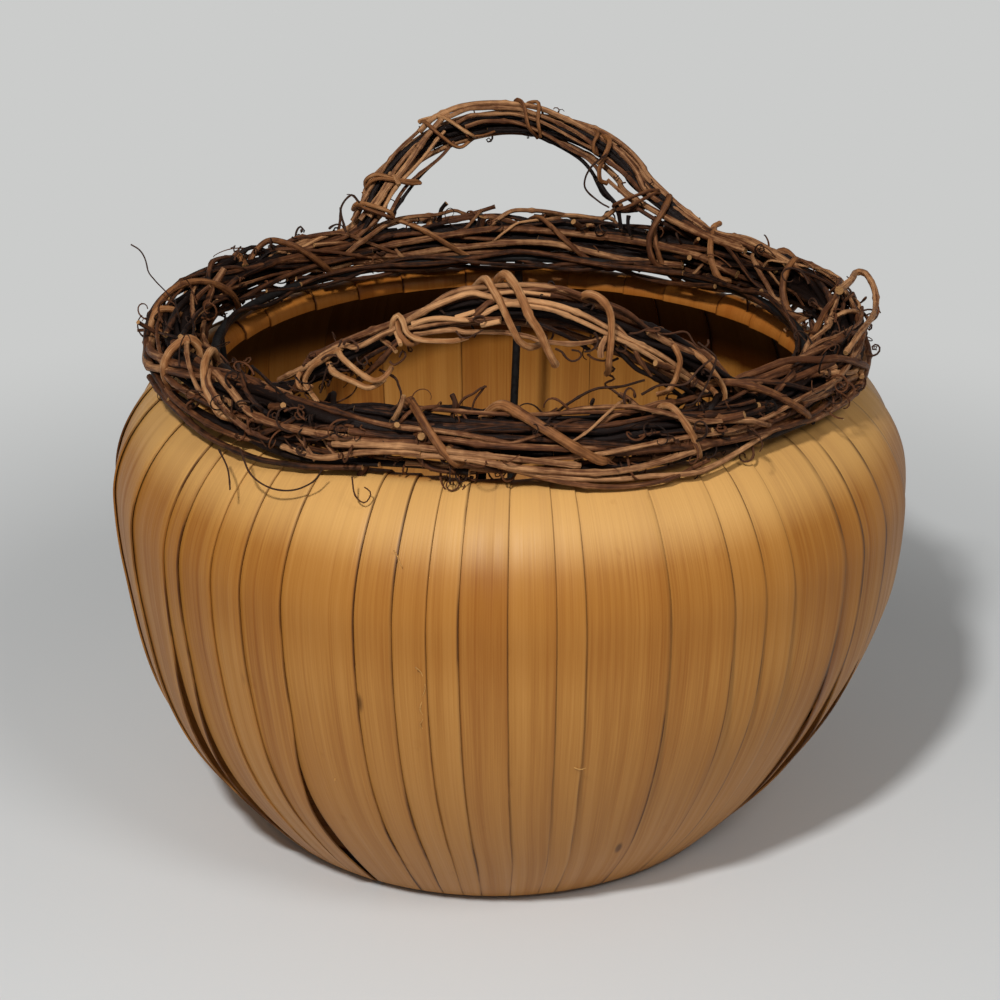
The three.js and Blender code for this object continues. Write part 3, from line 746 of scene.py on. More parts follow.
def strip_values(number, name):
    dice = random.Random(STRIP_SEED + number)
    from_angle, to_angle = spans[name]
    sagitta = BELLY_RADIUS * (1 - math.cos((to_angle - from_angle) / 2))
    lift, start_lift, opening, lift_height = STRIP_LIFTS.get(number + 1, (0, 0, 0, 0))
    return {
        "From Angle": from_angle,
        "To Angle": to_angle,
        "Lap": STRIP_LAP,
        "Side Gap": STRIP_LOOKS_GAP,
        "Lean": STRIP_LEAN,
        "Crown": dice.uniform(*CROWN_RANGE) - FLATNESS * sagitta,
        "Waver": dice.uniform(*WAVER_RANGE),
        "Lift": lift,
        "Start Lift": start_lift,
        "Opening": opening,
        "Lift Height": lift_height,
        "Tone": STRIP_TONES[number] if number < len(STRIP_TONES) else dice.uniform(*BACK_TONES),
        "Seam": STRIP_SEAMS[number] if number < len(STRIP_SEAMS) else dice.uniform(*BACK_SEAMS),
        "Seed": number * GRAIN_SHIFT,
        "Rows": STRIP_ROWS,
        "Columns": STRIP_COLUMNS,
        "Material": strip_wood,
    }


print(len(STRIP_LIFTS), "strips stand off somewhere")

# %% Bow the strips
STRIP_LOOKS_THICK = 0.0006
STRIP_EDGE_ROUND = 0.00012


def make_strip(number, name):
    piece = run_tree(strip_tree, f"bowed_{name}", line_mesh, strip_values(number, name))
    solidify = piece.modifiers.new("thickness", "SOLIDIFY")
    solidify.thickness = STRIP_LOOKS_THICK
    solidify.offset = 0
    solidify.material_offset = 1
    piece.data.materials.append(strip_wood_inside_shaded)
    rounding = piece.modifiers.new("rounding", "BEVEL")
    rounding.width = STRIP_EDGE_ROUND
    rounding.segments = 2
    rounding.limit_method = "ANGLE"
    return declare(piece, [name])


strips = [make_strip(number, name) for number, name in enumerate(STRIP_NODES)]
print("bowed", len(strips), "strips of", len(strips[0].data.polygons), "faces before their thickness")

# %% [markdown]
# ## The tree that skins a vine
# Every vine, twig, tendril and wire is a line with a thickness. One tree skins them all. It
# walks along the line in short steps, swells at the knots, pushes the skin in and out with
# noise that follows the vine, and closes the ends. Along the way it keeps what the bark needs:
# the place round and along the vine, and a value that is 1 at a cut end.

# %% Helpers: keep a value on a curve and read one
def capture(tree, geometry, values):
    node = tree.nodes.new("GeometryNodeCaptureAttribute")
    for label in values:
        node.capture_items.new("FLOAT", label)
    set_inputs(tree, node, {"Geometry": geometry, **values})
    return node


def named(tree, name):
    made = add_node(tree, "GeometryNodeInputNamedAttribute", {"Name": name}, data_type="FLOAT")
    return output(made, "Attribute")


print("values can be kept on a curve")

# %% Tree: vine skin
VINE_NUMBERS = ("Step", "Knot Spacing", "Knot Swell", "Bark Depth")
KNOT_WIDTH = 0.16
KNOT_SHIFT = 0.618
BARK_SHIFT = 7.3
RIDGE_SCALE = (1.3, 1.3, 110.0)
ENDS_BEYOND = 0.49999


def vine_radius(tree, given, length, number):
    knots = math_node(tree, "DIVIDE", length, given["Knot Spacing"])
    knots = math_node(tree, "FRACT", total(tree, knots, product(tree, number, KNOT_SHIFT)))
    from_knot = math_node(tree, "ABSOLUTE", difference(tree, knots, 0.5))
    swell = product(tree, smooth_ramp(tree, from_knot, KNOT_WIDTH / 2, 0.0), given["Knot Swell"])
    return product(tree, named(tree, "thickness"), 0.5, total(tree, swell, 1.0))


def make_vine_tree():
    tree, given = start_tree("vine skin", VINE_NUMBERS, ("Sides",))
    curve = output(add_node(tree, "GeometryNodeMeshToCurve", {"Mesh": given["Geometry"]}))
    steps = {"Curve": curve, "Length": given["Step"]}
    resample = add_node(tree, "GeometryNodeResampleCurve", steps, mode="LENGTH")
    parameter = tree.nodes.new("GeometryNodeSplineParameter")
    length, factor = output(parameter, "Length"), output(parameter, "Factor")
    from_middle = math_node(tree, "ABSOLUTE", difference(tree, factor, 0.5))
    is_end = math_node(tree, "GREATER_THAN", from_middle, ENDS_BEYOND)
    number = named(tree, "number")
    wide = vine_radius(tree, given, length, number)
    kept = capture(tree, output(resample), {"along": length, "end": is_end, "wide": wide})

    circle = {"Resolution": given["Sides"], "Radius": 1.0}
    profile = output(add_node(tree, "GeometryNodeCurvePrimitiveCircle", circle))
    around = output(tree.nodes.new("GeometryNodeSplineParameter"), "Factor")
    ring = capture(tree, profile, {"around": around})
    skin_inputs = {
        "Curve": output(kept, "Geometry"),
        "Profile Curve": output(ring, "Geometry"),
        "Scale": kept.outputs["wide"],
        "Fill Caps": True,
    }
    skin = add_node(tree, "GeometryNodeCurveToMesh", skin_inputs)
    turn = product(tree, ring.outputs["around"], FULL_TURN)
    sine = total(tree, math_node(tree, "SINE", turn), product(tree, number, BARK_SHIFT))
    place = combine(tree, math_node(tree, "COSINE", turn), sine, kept.outputs["along"])
    bark = {
        "bark": ("FLOAT_VECTOR", "POINT", place),
        "cut": ("FLOAT", "POINT", kept.outputs["end"]),
    }
    geometry = store_values(tree, output(skin), bark)
    noise = stretched_noise(tree, place, RIDGE_SCALE)
    push = product(tree, difference(tree, noise, 0.5), given["Bark Depth"], kept.outputs["wide"])
    normal = output(tree.nodes.new("GeometryNodeInputNormal"))
    scaled = add_node(tree, "ShaderNodeVectorMath", {0: normal, "Scale": push}, operation="SCALE")
    moved = add_node(tree, "GeometryNodeSetPosition", {"Geometry": geometry, "Offset": output(scaled)})
    finish_tree(tree, output(moved), given["Material"])
    return tree


vine_tree = make_vine_tree()
print("vine tree has", len(vine_tree.nodes), "nodes")

def skin_vines(name, vines, material, sides=8, step=0.0022, spacing=0.045, swell=0.35, depth=0.22):
    """Each vine is its points, thickness and tone, the last two as one value or one for each point."""
    values = {"thickness": [], "tone": [], "number": []}
    for i, (points, thick, tone) in enumerate(vines):
        for label, value in zip(values, (thick, tone, i)):
            values[label] += list(np.broadcast_to(value, len(points)))
    mesh = lines_mesh(name, [points for points, _, _ in vines], values)
    sizes = {
        "Sides": sides,
        "Step": step,
        "Knot Spacing": spacing,
        "Knot Swell": swell,
        "Bark Depth": depth,
        "Material": material,
    }
    return run_tree(vine_tree, name, mesh, sizes)


def add_vines(name, slot, nodes, vines, material, **shape):
    piece = declare(skin_vines(name, vines, material, **shape), nodes)
    print(name.replace("_", " ") + ":", len(vines), "lines,", len(piece.data.polygons), "faces")
    return piece


print("vines can be skinned")

# %% [markdown]
# ## Wire frame and base board
# The frame's wires keep their places. Their solids are coarse, so smooth wires stand for them:
# three rings and four posts, skinned by the vine tree with no knots and hardly any bark.

# %% Wreath line, which the upper ring follows
WREATH_RADIUS_X = LIP_RADIUS + 0.004
WREATH_RADIUS_Y = LIP_RADIUS - 0.002
WREATH_HEIGHT = 0.1735


def unit(vector):
    return vector / np.linalg.norm(vector)


def wreath_point(angle, out, up):
    """A point some way out from the wreath's centre line, on the level, and some way up from it."""
    cos, sin = math.cos(angle), math.sin(angle)
    outward = unit(np.array([cos / WREATH_RADIUS_X, sin / WREATH_RADIUS_Y]))
    x = WREATH_RADIUS_X * cos + out * outward[0]
    y = WREATH_RADIUS_Y * sin + out * outward[1]
    return np.array([x, y, WREATH_HEIGHT + up])


def wreath_place(degrees, out, up):
    """The same point from degrees and millimetres, in which the lists of vines are written."""
    return wreath_point(math.radians(degrees), out * MM, up * MM)


print("the wreath's line is", round(WREATH_RADIUS_X + WREATH_RADIUS_Y, 3), "m wide")

# %% Wires
WIRE_DIAMETER = 0.003
UPPER_RING_DROP = math.radians(23)
UPPER_RING_REACH = 0.01308
RING_STEPS = 180
POST_DEGREES = {"front": -95, "right": -4, "back": 88, "left": 176}
POST_FROM_ROLL, POST_GAP = 0.0041, 0.0003
POST_LIP_RADIUS = LIP_RADIUS - LIP_ROLL_RADIUS - POST_FROM_ROLL


def body_point(radius, angle, height):
    share = min(max((height - SHIFT_FADES_FROM) / (SHIFT_FADES_TO - SHIFT_FADES_FROM), 0), 1)
    shift = BASE_SHIFT * (1 - share * share * (3 - 2 * share))
    return np.array([shift + radius * math.cos(angle), radius * math.sin(angle), height])


def ring(point_at):
    return [point_at(FULL_TURN * i / RING_STEPS) for i in range(RING_STEPS + 1)]


ring_out = -UPPER_RING_REACH * math.cos(UPPER_RING_DROP)
ring_up = -UPPER_RING_REACH * math.sin(UPPER_RING_DROP)
base_ring_radius = BASE_RADIUS - WIRE_DIAMETER / 2
base_ring_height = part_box("wire_base_ring")[0][2] + WIRE_DIAMETER / 2
lip_ring_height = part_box("wire_lip_ring")[1][2] - WIRE_DIAMETER / 2


def post_line(degrees):
    top = wreath_point(math.radians(degrees), ring_out, ring_up)
    angle = math.atan2(top[1], top[0])
    return [
        body_point(base_ring_radius, angle, base_ring_height + WIRE_DIAMETER + POST_GAP),
        body_point(POST_LIP_RADIUS, angle, ROLL_HEIGHT - LIP_FOLD_LENGTH),
        body_point(POST_LIP_RADIUS, angle, ROLL_HEIGHT),
        top - np.array([0, 0, WIRE_DIAMETER / 2]),
    ]


wire_lines = {
    "base_ring": ring(lambda angle: body_point(base_ring_radius, angle, base_ring_height)),
    "lip_ring": ring(lambda angle: body_point(LIP_RADIUS, angle, lip_ring_height)),
    "upper_ring": ring(lambda angle: wreath_point(angle, ring_out, ring_up)),
    **{"post_" + side: post_line(degrees) for side, degrees in POST_DEGREES.items()},
}
for name, points in wire_lines.items():
    wire = [(points, WIRE_DIAMETER, 0.0)]
    shape = {"sides": 14, "step": 0.003, "swell": 0.0, "depth": 0.05}
    add_vines(f"smooth_wire_{name}", "frame_wire", [f"wire_{name}"], wire, frame_wire, **shape)

# %% Base board
for material_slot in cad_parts["base_board"].material_slots:
    material_slot.material = board_wood

# %% [markdown]
# ## The wreath
# The wreath is a bundle of vines of every thickness. The long ones that fill it follow a rule:
# each winds slowly round the middle of the bundle and wanders a little. The vines that lie on
# the outside give the wreath its face, so their places are listed one by one. A row holds a
# vine's thickness in millimetres, its tone and its places. Each place is an angle round the
# basket in degrees, and how far out and up it lies from the wreath's centre line, in
# millimetres.

# %% Helpers: smooth lines, slow noise and kinks
WANDER_RATES = (1.0, 2.3, 4.1)
KINK_SPACING = (0.6, 1.5)


def smooth_line(points, step=0.003):
    """A line that passes through all the points, in short steps, with no corners."""
    points = np.asarray(points, dtype=float)
    padded = np.vstack([2 * points[0] - points[1], points, 2 * points[-1] - points[-2]])
    pieces = []
    for before, start, end, after in zip(padded, padded[1:], padded[2:], padded[3:]):
        count = max(2, int(np.linalg.norm(end - start) / step) + 1)
        t = np.linspace(0, 1, count, endpoint=False)[:, None]
        bend = 2 * before - 5 * start + 4 * end - after
        twist = -before + 3 * start - 3 * end + after
        pieces.append(0.5 * (2 * start + (end - before) * t + bend * t**2 + twist * t**3))
    return np.vstack(pieces + [points[-1:]])


def wander(dice):
    """Slow noise along a line: a few waves of random phase, between about -1 and 1."""
    waves = [(rate, dice.uniform(0, FULL_TURN), 1 / rate**0.5) for rate in WANDER_RATES]
    size = sum(weight for _, _, weight in waves)
    return lambda place: sum(w * math.sin(rate * place + phase) for rate, phase, w in waves) / size


def kinked(points, dice, size=0.8, spacing=0.022):
    """The same line with the small bends that a vine has at its buds."""
    lengths = lengths_along(points)
    places = [0.0]
    while places[-1] < lengths[-1]:
        places.append(places[-1] + spacing * dice.uniform(*KINK_SPACING))
    shifts = [[dice.gauss(0, size * MM) for _ in places] for _ in range(3)]
    return points + np.stack([np.interp(lengths, places, shift) for shift in shifts], axis=1)


def taper(points, thick, start=1.1, end=0.8):
    return np.linspace(start, end, len(points)) * thick * MM


print("three points become", len(smooth_line([(0, 0, 0), (0.01, 0, 0), (0.02, 0.01, 0)])))

# %% [markdown]
# Each group of filling vines has its count, how far from the middle of the bundle its vines
# run, their thickness, their length in degrees, their tone and how much they sway. Painted
# shade makes the bark darker inside the bundle and on the inner side of the front, where the
# vines lie in shade.

# %% Vines that fill the wreath
FILL_GROUPS = [
    (10, (0.5, 4.4), (3.0, 4.6), (200, 400), -0.1, 1.0),
    (18, (4.5, 7.2), (1.5, 2.8), (80, 300), 0.0, 2.0),
    (18, (7.2, 9.6), (1.1, 2.3), (30, 130), 0.04, 1.8),
]
FILL_SEED, FILL_GROUP_SEEDS = 500, 100
FILL_TURN_RATE = (-1.6, 1.6)
FILL_TONES = (-0.08, 0.08)
FILL_KINK = 0.6
FILL_STEP = 3.0
SWAY_RATE = 4
FLATTENED = 0.9
PHASE_STEP = 2.4
# painted shade for the bark deep in the bundle and on the inner side of the front
PAINTED_SHADE_TONE = -0.4
DEEP_WITHIN, DEEP_FADES = 4.0, 4.5
FRONT_FROM, FRONT_FADES = 0.55, 0.2
INNER_FROM, INNER_FADES = 0.5, 3


# Painted shade: darker bark deep in the bundle and on the inner side of the front.
def with_painted_shade(points, tone):
    x, y, z = np.asarray(points).T
    angle = np.arctan2(y / WREATH_RADIUS_Y, x / WREATH_RADIUS_X)
    middle = np.hypot(WREATH_RADIUS_X * np.cos(angle), WREATH_RADIUS_Y * np.sin(angle))
    out = (np.hypot(x, y) - middle) / MM
    reach = np.hypot(out, (z - WREATH_HEIGHT) / MM)
    deep = 1 - np.clip((reach - DEEP_WITHIN) / DEEP_FADES, 0, 1)
    in_front = np.clip((-np.sin(angle) - FRONT_FROM) / FRONT_FADES, 0, 1)
    inner = np.clip((-out - INNER_FROM) / INNER_FADES, 0, 1)
    return tone + PAINTED_SHADE_TONE * np.maximum(deep, in_front * inner)


def fill_vine(seed, reaches, thicks, lengths, tone, sway):
    dice = random.Random(seed)
    out_noise, up_noise = wander(dice), wander(dice)
    start = dice.uniform(0, 360)
    end = start + dice.uniform(*lengths)
    rate = dice.uniform(*FILL_TURN_RATE)
    reach = dice.uniform(*reaches)
    points = []
    for degrees in np.arange(start, end, FILL_STEP):
        angle = math.radians(degrees)
        around = PHASE_STEP * seed + rate * angle
        out = reach * math.cos(around) + sway * out_noise(SWAY_RATE * angle)
        up = FLATTENED * reach * math.sin(around) + sway * up_noise(SWAY_RATE * angle)
        points.append(wreath_place(degrees, out, up))
    line = kinked(smooth_line(points), dice, FILL_KINK)
    thick = dice.uniform(*thicks)
    return line, taper(line, thick), with_painted_shade(line, tone + dice.uniform(*FILL_TONES))


fill_vines = [
    fill_vine(FILL_SEED + FILL_GROUP_SEEDS * i + number, *rest)
    for i, (count, *rest) in enumerate(FILL_GROUPS)
    for number in range(count)
]
print("fill vines:", len(fill_vines))

# %% Vines on the face of the wreath
FACE_VINES = [
    (3.8, 0.02, [(-200, 3, 2), (-184, 7, -1), (-169, 10, 0), (-158, 8, 2), (-148, 4.5, 6), (-136, 2.5, 7),
        (-126, 4, 5)]),
    (4.6, -0.1, [(-146, -2, 5), (-138, 2, 6), (-129, 3.5, 6), (-119, 6, 3.5), (-110, 5.5, 4), (-99, 5, 4),
        (-90, 3, 2)]),
    (3.3, 0.06, [(-108, 3, 4), (-100, 5, 4.7), (-83, 5, 4.8), (-76, 6, 3.5), (-67, 4.5, 5.5), (-58, 6, 4),
        (-46, 3, 3)]),
    (3.3, 0.08, [(-205, 6, 2), (-185, 10, -3), (-167, 12, -3.5), (-157, 9, 0), (-146, 6.7, 4),
        (-141, 5.5, 6)]),
    (3, 0.04, [(-150, 3, 7), (-138, 7, 5), (-131, 9, 0.5), (-122, 9, -0.5), (-107, 9, 0), (-98, 8, 2)]),
    (2.6, 0, [(-168, 8, -5), (-156, 9.5, -7), (-144, 8, -9), (-136, 7, -9.5), (-128, 6, -9),
        (-116, 7, -6)]),
    (2.4, -0.04, [(-164, 11, -7), (-154, 11, -9), (-142, 10, -12), (-132, 10, -13.5), (-124, 9, -12),
        (-112, 8, -9)]),
    (2.2, 0.1, [(-126, 7, -8), (-119, 8, -8), (-112, 10.5, -3), (-103, 11, -2)]),
    (2.4, 0.05, [(-118, 8, -4), (-106, 7.5, -2), (-101, 7, 2.5), (-90, 6.8, 3), (-80, 7, 1.5), (-66, 7, -3),
        (-56, 5, -5)]),
    (2.6, 0, [(-114, 8, 2), (-99, 8.5, 2.2), (-93, 9, 1), (-82, 9, -1), (-74, 6, -4)]),
    (2.5, 0.06, [(-116, 9, -3), (-109, 10, -1), (-99, 10, 0), (-88, 9.7, -2.8), (-80, 8, -6)]),
    (2.6, 0.06, [(-106, 9, -2), (-97, 10.7, -1.7), (-89, 10, -5), (-80, 8, -8.5), (-72, 8, -9),
        (-63, 9, -6), (-52, 7, -3)]),
    (2.2, 0.1, [(-94, 9, -4), (-86, 9, -8), (-77, 8.5, -11), (-68, 9, -12), (-58, 9, -10.5), (-48, 8, -6)]),
    (2, 0.02, [(-92, 8, -6), (-84, 9, -10), (-76, 9.5, -13), (-68, 9.5, -13), (-60, 8, -10)]),
    (2.6, 0.12, [(-64, 7.2, 2.5), (-57, 7.3, -2), (-47, 7, -2.8), (-36, 7, -1), (-24, 5, 2)]),
    (3.6, 0, [(-84, 5, -4), (-71, 8.2, -2.5), (-57, 8, -4.5), (-44, 7.5, -6), (-32, 8, -7), (-22, 9.5, -6),
        (-8, 8, -2), (8, 5, 2)]),
    (2.8, 0.08, [(-50, 6, 2), (-39, 8, 0), (-27, 8, -1.4), (-15, 9, -3), (0, 7, 0)]),
    (3, 0.02, [(-56, -3, 7), (-44, -1, 8), (-30, 0, 8), (-18, 3, 7), (-2, 6, 5), (14, 4, 6), (30, 0, 7)]),
    (3.4, -0.02, [(-4, 8, -2), (12, 6, -5), (30, 4, -7), (48, -2, -7), (66, -6, -4), (84, -7, 1)]),
    (3.2, 0.04, [(38, -7, 0), (54, -8, 2), (70, -7, 3), (88, -6, 4), (104, -7, 3), (122, -7, 0),
        (140, -6, -4)]),
    (2.8, 0.1, [(52, -8, -4), (68, -9, -3), (84, -9, 0), (100, -9, -2), (116, -8, -4), (132, -7, -6)]),
    (2.6, 0, [(74, -9, -7), (90, -9, -5), (106, -8.5, -4), (124, -8, -1), (142, -6, 3), (160, -2, 7)]),
    (3, 0.06, [(110, -4, 5), (126, -6, 4), (144, -6, 4), (160, -5, 5), (176, 0, 7), (194, 5, 6)]),
    (2.4, -0.06, [(120, -9, 0), (138, -9, -2), (154, -9, -4), (170, -8, -2), (186, -5, 4), (200, 2, 8)]),
    (3.2, -0.04, [(150, 2, 7), (164, 6, 6), (178, 10, 3), (192, 11, -3), (206, 10, -8)]),
    (2.8, -0.02, [(64, 8, 2), (86, 9, -2), (108, 8, -5), (130, 9, -3), (152, 9, 1), (172, 8, 5)]),
    (3, 0.02, [(20, 9, 2), (44, 9, -3), (68, 8, -6), (92, 7, -8), (116, 8, -5)]),
    (2, 0.04, [(82, -2, 5), (92, -1, 8), (102, -3, 7), (112, -4, 4)]),
    (1.8, -0.04, [(62, -3, 5), (74, -2, 8), (86, -4, 6), (100, -5, 4)]),
    (2.4, -0.1, [(28, -10, -3), (44, -12, -7), (60, -11, -4), (76, -13, -8), (92, -12, -5), (108, -13, -8),
        (126, -11, -4)]),
    (2, -0.05, [(40, -14, -6), (56, -12, -9), (72, -14, -5), (90, -13, -9), (106, -11, -6), (122, -14, -7),
        (140, -11, -4)]),
    (2.8, -0.25, [(-176, 5, -7), (-160, 7, -8), (-144, 5, -9), (-128, 7, -8), (-112, 5, -8), (-96, 6, -9)]),
    (2.4, -0.22, [(-168, 9, -5), (-154, 7, -10), (-140, 8, -8), (-126, 7, -11), (-110, 7, -8)]),
    (2.6, -0.25, [(-80, 6, -8), (-64, 5, -9), (-48, 6, -8), (-32, 7, -7), (-16, 6, -8), (0, 7, -6)]),
    (2.2, -0.12, [(-20, -10, -3), (-4, -13, -6), (12, -12, -8), (28, -14, -5), (44, -12, -3)]),
    (2, -0.1, [(134, -12, -4), (150, -14, -7), (164, -12, -3), (180, -13, -7), (196, -11, -4)]),
    (2.2, -0.08, [(-24, -13, -2), (-8, -14, -4), (10, -14, -3), (28, -14, -2), (46, -14, -4),
        (62, -14, -3)]),
    (2.4, -0.05, [(50, -14, -3), (68, -14.5, -5), (86, -14, -3), (104, -14.5, -5), (122, -14, -3),
        (140, -14, -5)]),
    (1.8, -0.1, [(58, -12.5, -2), (76, -13.5, -7), (94, -15, -6), (112, -13, -3), (130, -14, -7),
        (150, -12, -3)]),
]
FACE_SEED = 300
FACE_TONE, FACE_KINK, FACE_TAPER = -0.03, 0.55, (0.92, 0.74)
PLACED_TONES = (-0.04, 0.04)


def face_vine(number, thick, tone, places):
    dice = random.Random(FACE_SEED + number)
    line = kinked(smooth_line([wreath_place(*place) for place in places]), dice, FACE_KINK)
    tone = with_painted_shade(line, tone + FACE_TONE + dice.uniform(*PLACED_TONES))
    return line, taper(line, thick, *FACE_TAPER), tone


face_vines = [face_vine(number, *row) for number, row in enumerate(FACE_VINES)]
wreath_nodes = ["wreath_core_vine", "wreath_vine_1", "wreath_vine_2"]
add_vines("wreath_vines", "dark_vine", wreath_nodes, fill_vines + face_vines, dark_vine, spacing=0.026)

# %% [markdown]
# ## The wraps of the wreath
# Paler vines are laid over the bundle to bind it. Each wrap goes over the wreath from one side
# to the other while it moves on a little round the basket. Round the bundle, 0 degrees is
# outward, 90 is up and 180 is toward the mouth. A row holds a wrap's thickness and the two
# angles where it starts and where it ends, round the basket and round the bundle. The ends
# dive in between the vines. Thinner pieces of vine cross the bundle in the same way.

# %% Wraps
WRAP_REACH = 9.4
WRAP_DIVE = [3.5, 7.0]
WRAP_DIVE_TURN = 24
WRAP_DIVE_DRIFT = 0.13
WRAP_STEPS = 8
WRAP_SEED = 900
WRAP_TONES, WRAP_KINK, WRAP_TAPER = (-0.14, 0.04), (0.35, 0.014), (0.96, 0.7)
WREATH_WRAPS = [
    (3.3, (-106, 100), (-98, -25)),
    (3.8, (-92, 92), (-77, -30)),
    (2.8, (-56, 110), (-36, -60)),
    (2.8, (-48, 140), (-14, -30)),
    (3.3, (-156, 85), (-158, -50)),
    (3, (-149, 95), (-138, -20)),
    (2.7, (-22, 185), (12, 60)),
    (3, (17, 215), (25, 90)),
    (2.8, (42, 205), (49, 65)),
    (2.4, (55, 255), (62, 60)),
    (2.4, (92, 255), (113, 110)),
    (2.4, (69, 250), (84, 120)),
    (3, (125, 250), (142, 95)),
    (3, (157, 225), (179, 20)),
    (2.4, (-66, 60), (-60, -80)),
    (2.8, (32, 60), (26, -90)),
    (2.6, (104, 40), (96, -100)),
    (2.8, (146, 30), (138, -95)),
    (2.6, (-178, 40), (-172, -70)),
]


def wrap_line(first, last, reach):
    (from_angle, from_around), (to_angle, to_around) = first, last
    turn = math.copysign(WRAP_DIVE_TURN, to_around - from_around)
    drift = (to_angle - from_angle) * WRAP_DIVE_DRIFT
    steps = [(0, share) for share in np.linspace(0, 1, WRAP_STEPS)]
    shares = [(-2, 0), (-1, 0)] + steps + [(1, 1), (2, 1)]
    reaches = WRAP_DIVE + [reach] * WRAP_STEPS + WRAP_DIVE[::-1]
    points = []
    for (dive, share), r in zip(shares, reaches):
        degrees = from_angle + (to_angle - from_angle) * share + drift * dive
        around = math.radians(from_around + (to_around - from_around) * share + turn * dive)
        points.append(wreath_place(degrees, r * math.cos(around), r * math.sin(around)))
    return smooth_line(points, step=0.002)


def wreath_wrap(number, thick, first, last):
    dice = random.Random(WRAP_SEED + number)
    line = kinked(wrap_line(first, last, WRAP_REACH + thick / 4), dice, *WRAP_KINK)
    return line, taper(line, thick, *WRAP_TAPER), dice.uniform(*WRAP_TONES)


wraps = [wreath_wrap(number, *row) for number, row in enumerate(WREATH_WRAPS)]
wrap_shape = {"sides": 10, "step": 0.0013, "spacing": 0.021, "swell": 0.22, "depth": 0.2}
add_vines("wreath_wraps", "binding_vine", ["wreath_binding"], wraps, binding_vine, **wrap_shape)

# %% Thin vines that cross the bundle
CROSSING_VINES = 74
CROSSING_SEED = 2100
CROSSING_AROUND = (-120, 240)
CROSSING_TURN = (30, 150)
CROSSING_DRIFT = (8, 30)
CROSSING_THICKNESS = (0.9, 2.2)
CROSSING_REACH = (7.5, 10.2)
CROSSING_TONES = (-0.16, 0.14)
CROSSING_KINK, CROSSING_TAPER = (0.8, 0.012), (1.2, 0.7)


def either_way(dice, amounts):
    return dice.choice((-1, 1)) * dice.uniform(*amounts)


def crossing_vine(number):
    dice = random.Random(CROSSING_SEED + number)
    angle = 360 * (number + dice.random()) / CROSSING_VINES
    around = dice.uniform(*CROSSING_AROUND)
    turn = either_way(dice, CROSSING_TURN)
    drift = either_way(dice, CROSSING_DRIFT)
    thick = dice.uniform(*CROSSING_THICKNESS)
    line = wrap_line((angle, around), (angle + drift, around + turn), dice.uniform(*CROSSING_REACH))
    line = kinked(line, dice, *CROSSING_KINK)
    return line, taper(line, thick, *CROSSING_TAPER), with_painted_shade(line, dice.uniform(*CROSSING_TONES))


crossing = [crossing_vine(number) for number in range(CROSSING_VINES)]
crossing_shape = {"sides": 7, "step": 0.0016, "spacing": 0.016, "swell": 0.5}
add_vines("crossing_vines", "dark_vine", (), crossing, dark_vine, **crossing_shape)

# %% [markdown]
# ## The handles
# Each handle is a bundle of thin vines that leaves the wreath, arches over and goes back in.
# The front arch is slack, like a wave, and the back one is a half oval. Both lean outward.
# Beyond its feet a vine runs on into the wreath, so that the handle grows out of it.

# %% The arch of a handle
FOOT_OUT = -4.9
FOOT_UP = 10.5
HANDLES = {
    "front": {"half_width": 0.065, "rise": 0.037, "roundness": 0.1, "flare": 37, "side": -1},
    "back": {"half_width": 0.054, "rise": 0.0375, "roundness": 1.0, "flare": 25, "side": 1},
}


def arch_point(handle, share, lift_by=0.0, face_by=0.0):
    """A point of the arch from its right foot to its left one, moved within its plane and out of it."""
    side, rise, roundness = handle["side"], handle["rise"], handle["roundness"]
    flare = math.radians(handle["flare"])
    foot_angle = side * math.acos(handle["half_width"] / WREATH_RADIUS_X)
    foot = wreath_point(foot_angle, FOOT_OUT * MM, FOOT_UP * MM)
    lift = np.array([0, side * math.sin(flare), math.cos(flare)])
    facing = np.array([0, side * math.cos(flare), -math.sin(flare)])
    angle = math.pi * share
    across = roundness * math.cos(angle) + (1 - roundness) * (1 - 2 * share)
    rate = -roundness * math.pi * math.sin(angle) - 2 * (1 - roundness)
    outward = unit(np.array([rise * math.pi * math.cos(angle), 0, 0]) - foot[0] * rate * lift)
    middle = np.array([foot[0] * across, foot[1], foot[2]]) + rise * math.sin(angle) * lift
    return middle + lift_by * outward + face_by * facing


tops = {name: arch_point(handle, 0.5) for name, handle in HANDLES.items()}
print("tops of the arches:", {name: [round(v, 3) for v in top] for name, top in tops.items()})

# %% [markdown]
# The first vines of a bundle make its core, which takes a dark tone as painted shade, and the
# others its far side. A bundle's reach is how far it spreads within the plane of the arch and
# out of it, and its girth says how full it is at five places along the arch. A run holds the
# places in the wreath that a vine may follow beyond its foot.

# %% Bundles that fill the handles
HANDLE_BUNDLES = {
    "front": {
        "core": 6, "far": 9, "far_side": 235, "reach": (6.4, 4.8), "thick": (1.7, 2.6), "wander": 1.4,
        "girth": (1.0, 1.0, 1.0, 0.6, 0.85), "ends": (0.03, 0.97),
        "runs": ([(-50, -3, 7), (-41, -1, 6), (-30, 3, 5)], [(-129, -4, 7), (-137, -2, 5), (-147, 2, 4)]),
    },
    "back": {
        "core": 5, "far": 8, "far_side": 90, "reach": (5.0, 4.4), "thick": (1.6, 2.4), "wander": 0.9,
        "girth": (1.0, 1.0, 1.0, 1.0, 0.9), "ends": (0.12, 0.96),
        "runs": ([(50, -2, 9), (38, -1, 8.5), (25, 1, 7.5)], [(122, -3, 6), (131, -1, 4), (142, 2, 3)]),
    },
}
GIRTH_PLACES = (0, 0.25, 0.55, 0.78, 1.0)
HANDLE_SEED, NAME_SEEDS = 1300, 40
ARCH_STEPS = 24
FAR_SPREAD, FAR_RING = (-70, 70), (0.8, 1.05)
CORE_RING, CORE_FILLS_FROM, CORE_WINDS, FAR_WINDS = 0.55, 0.4, 1.6, 0.5
ARCH_SWAY_RATE = 5
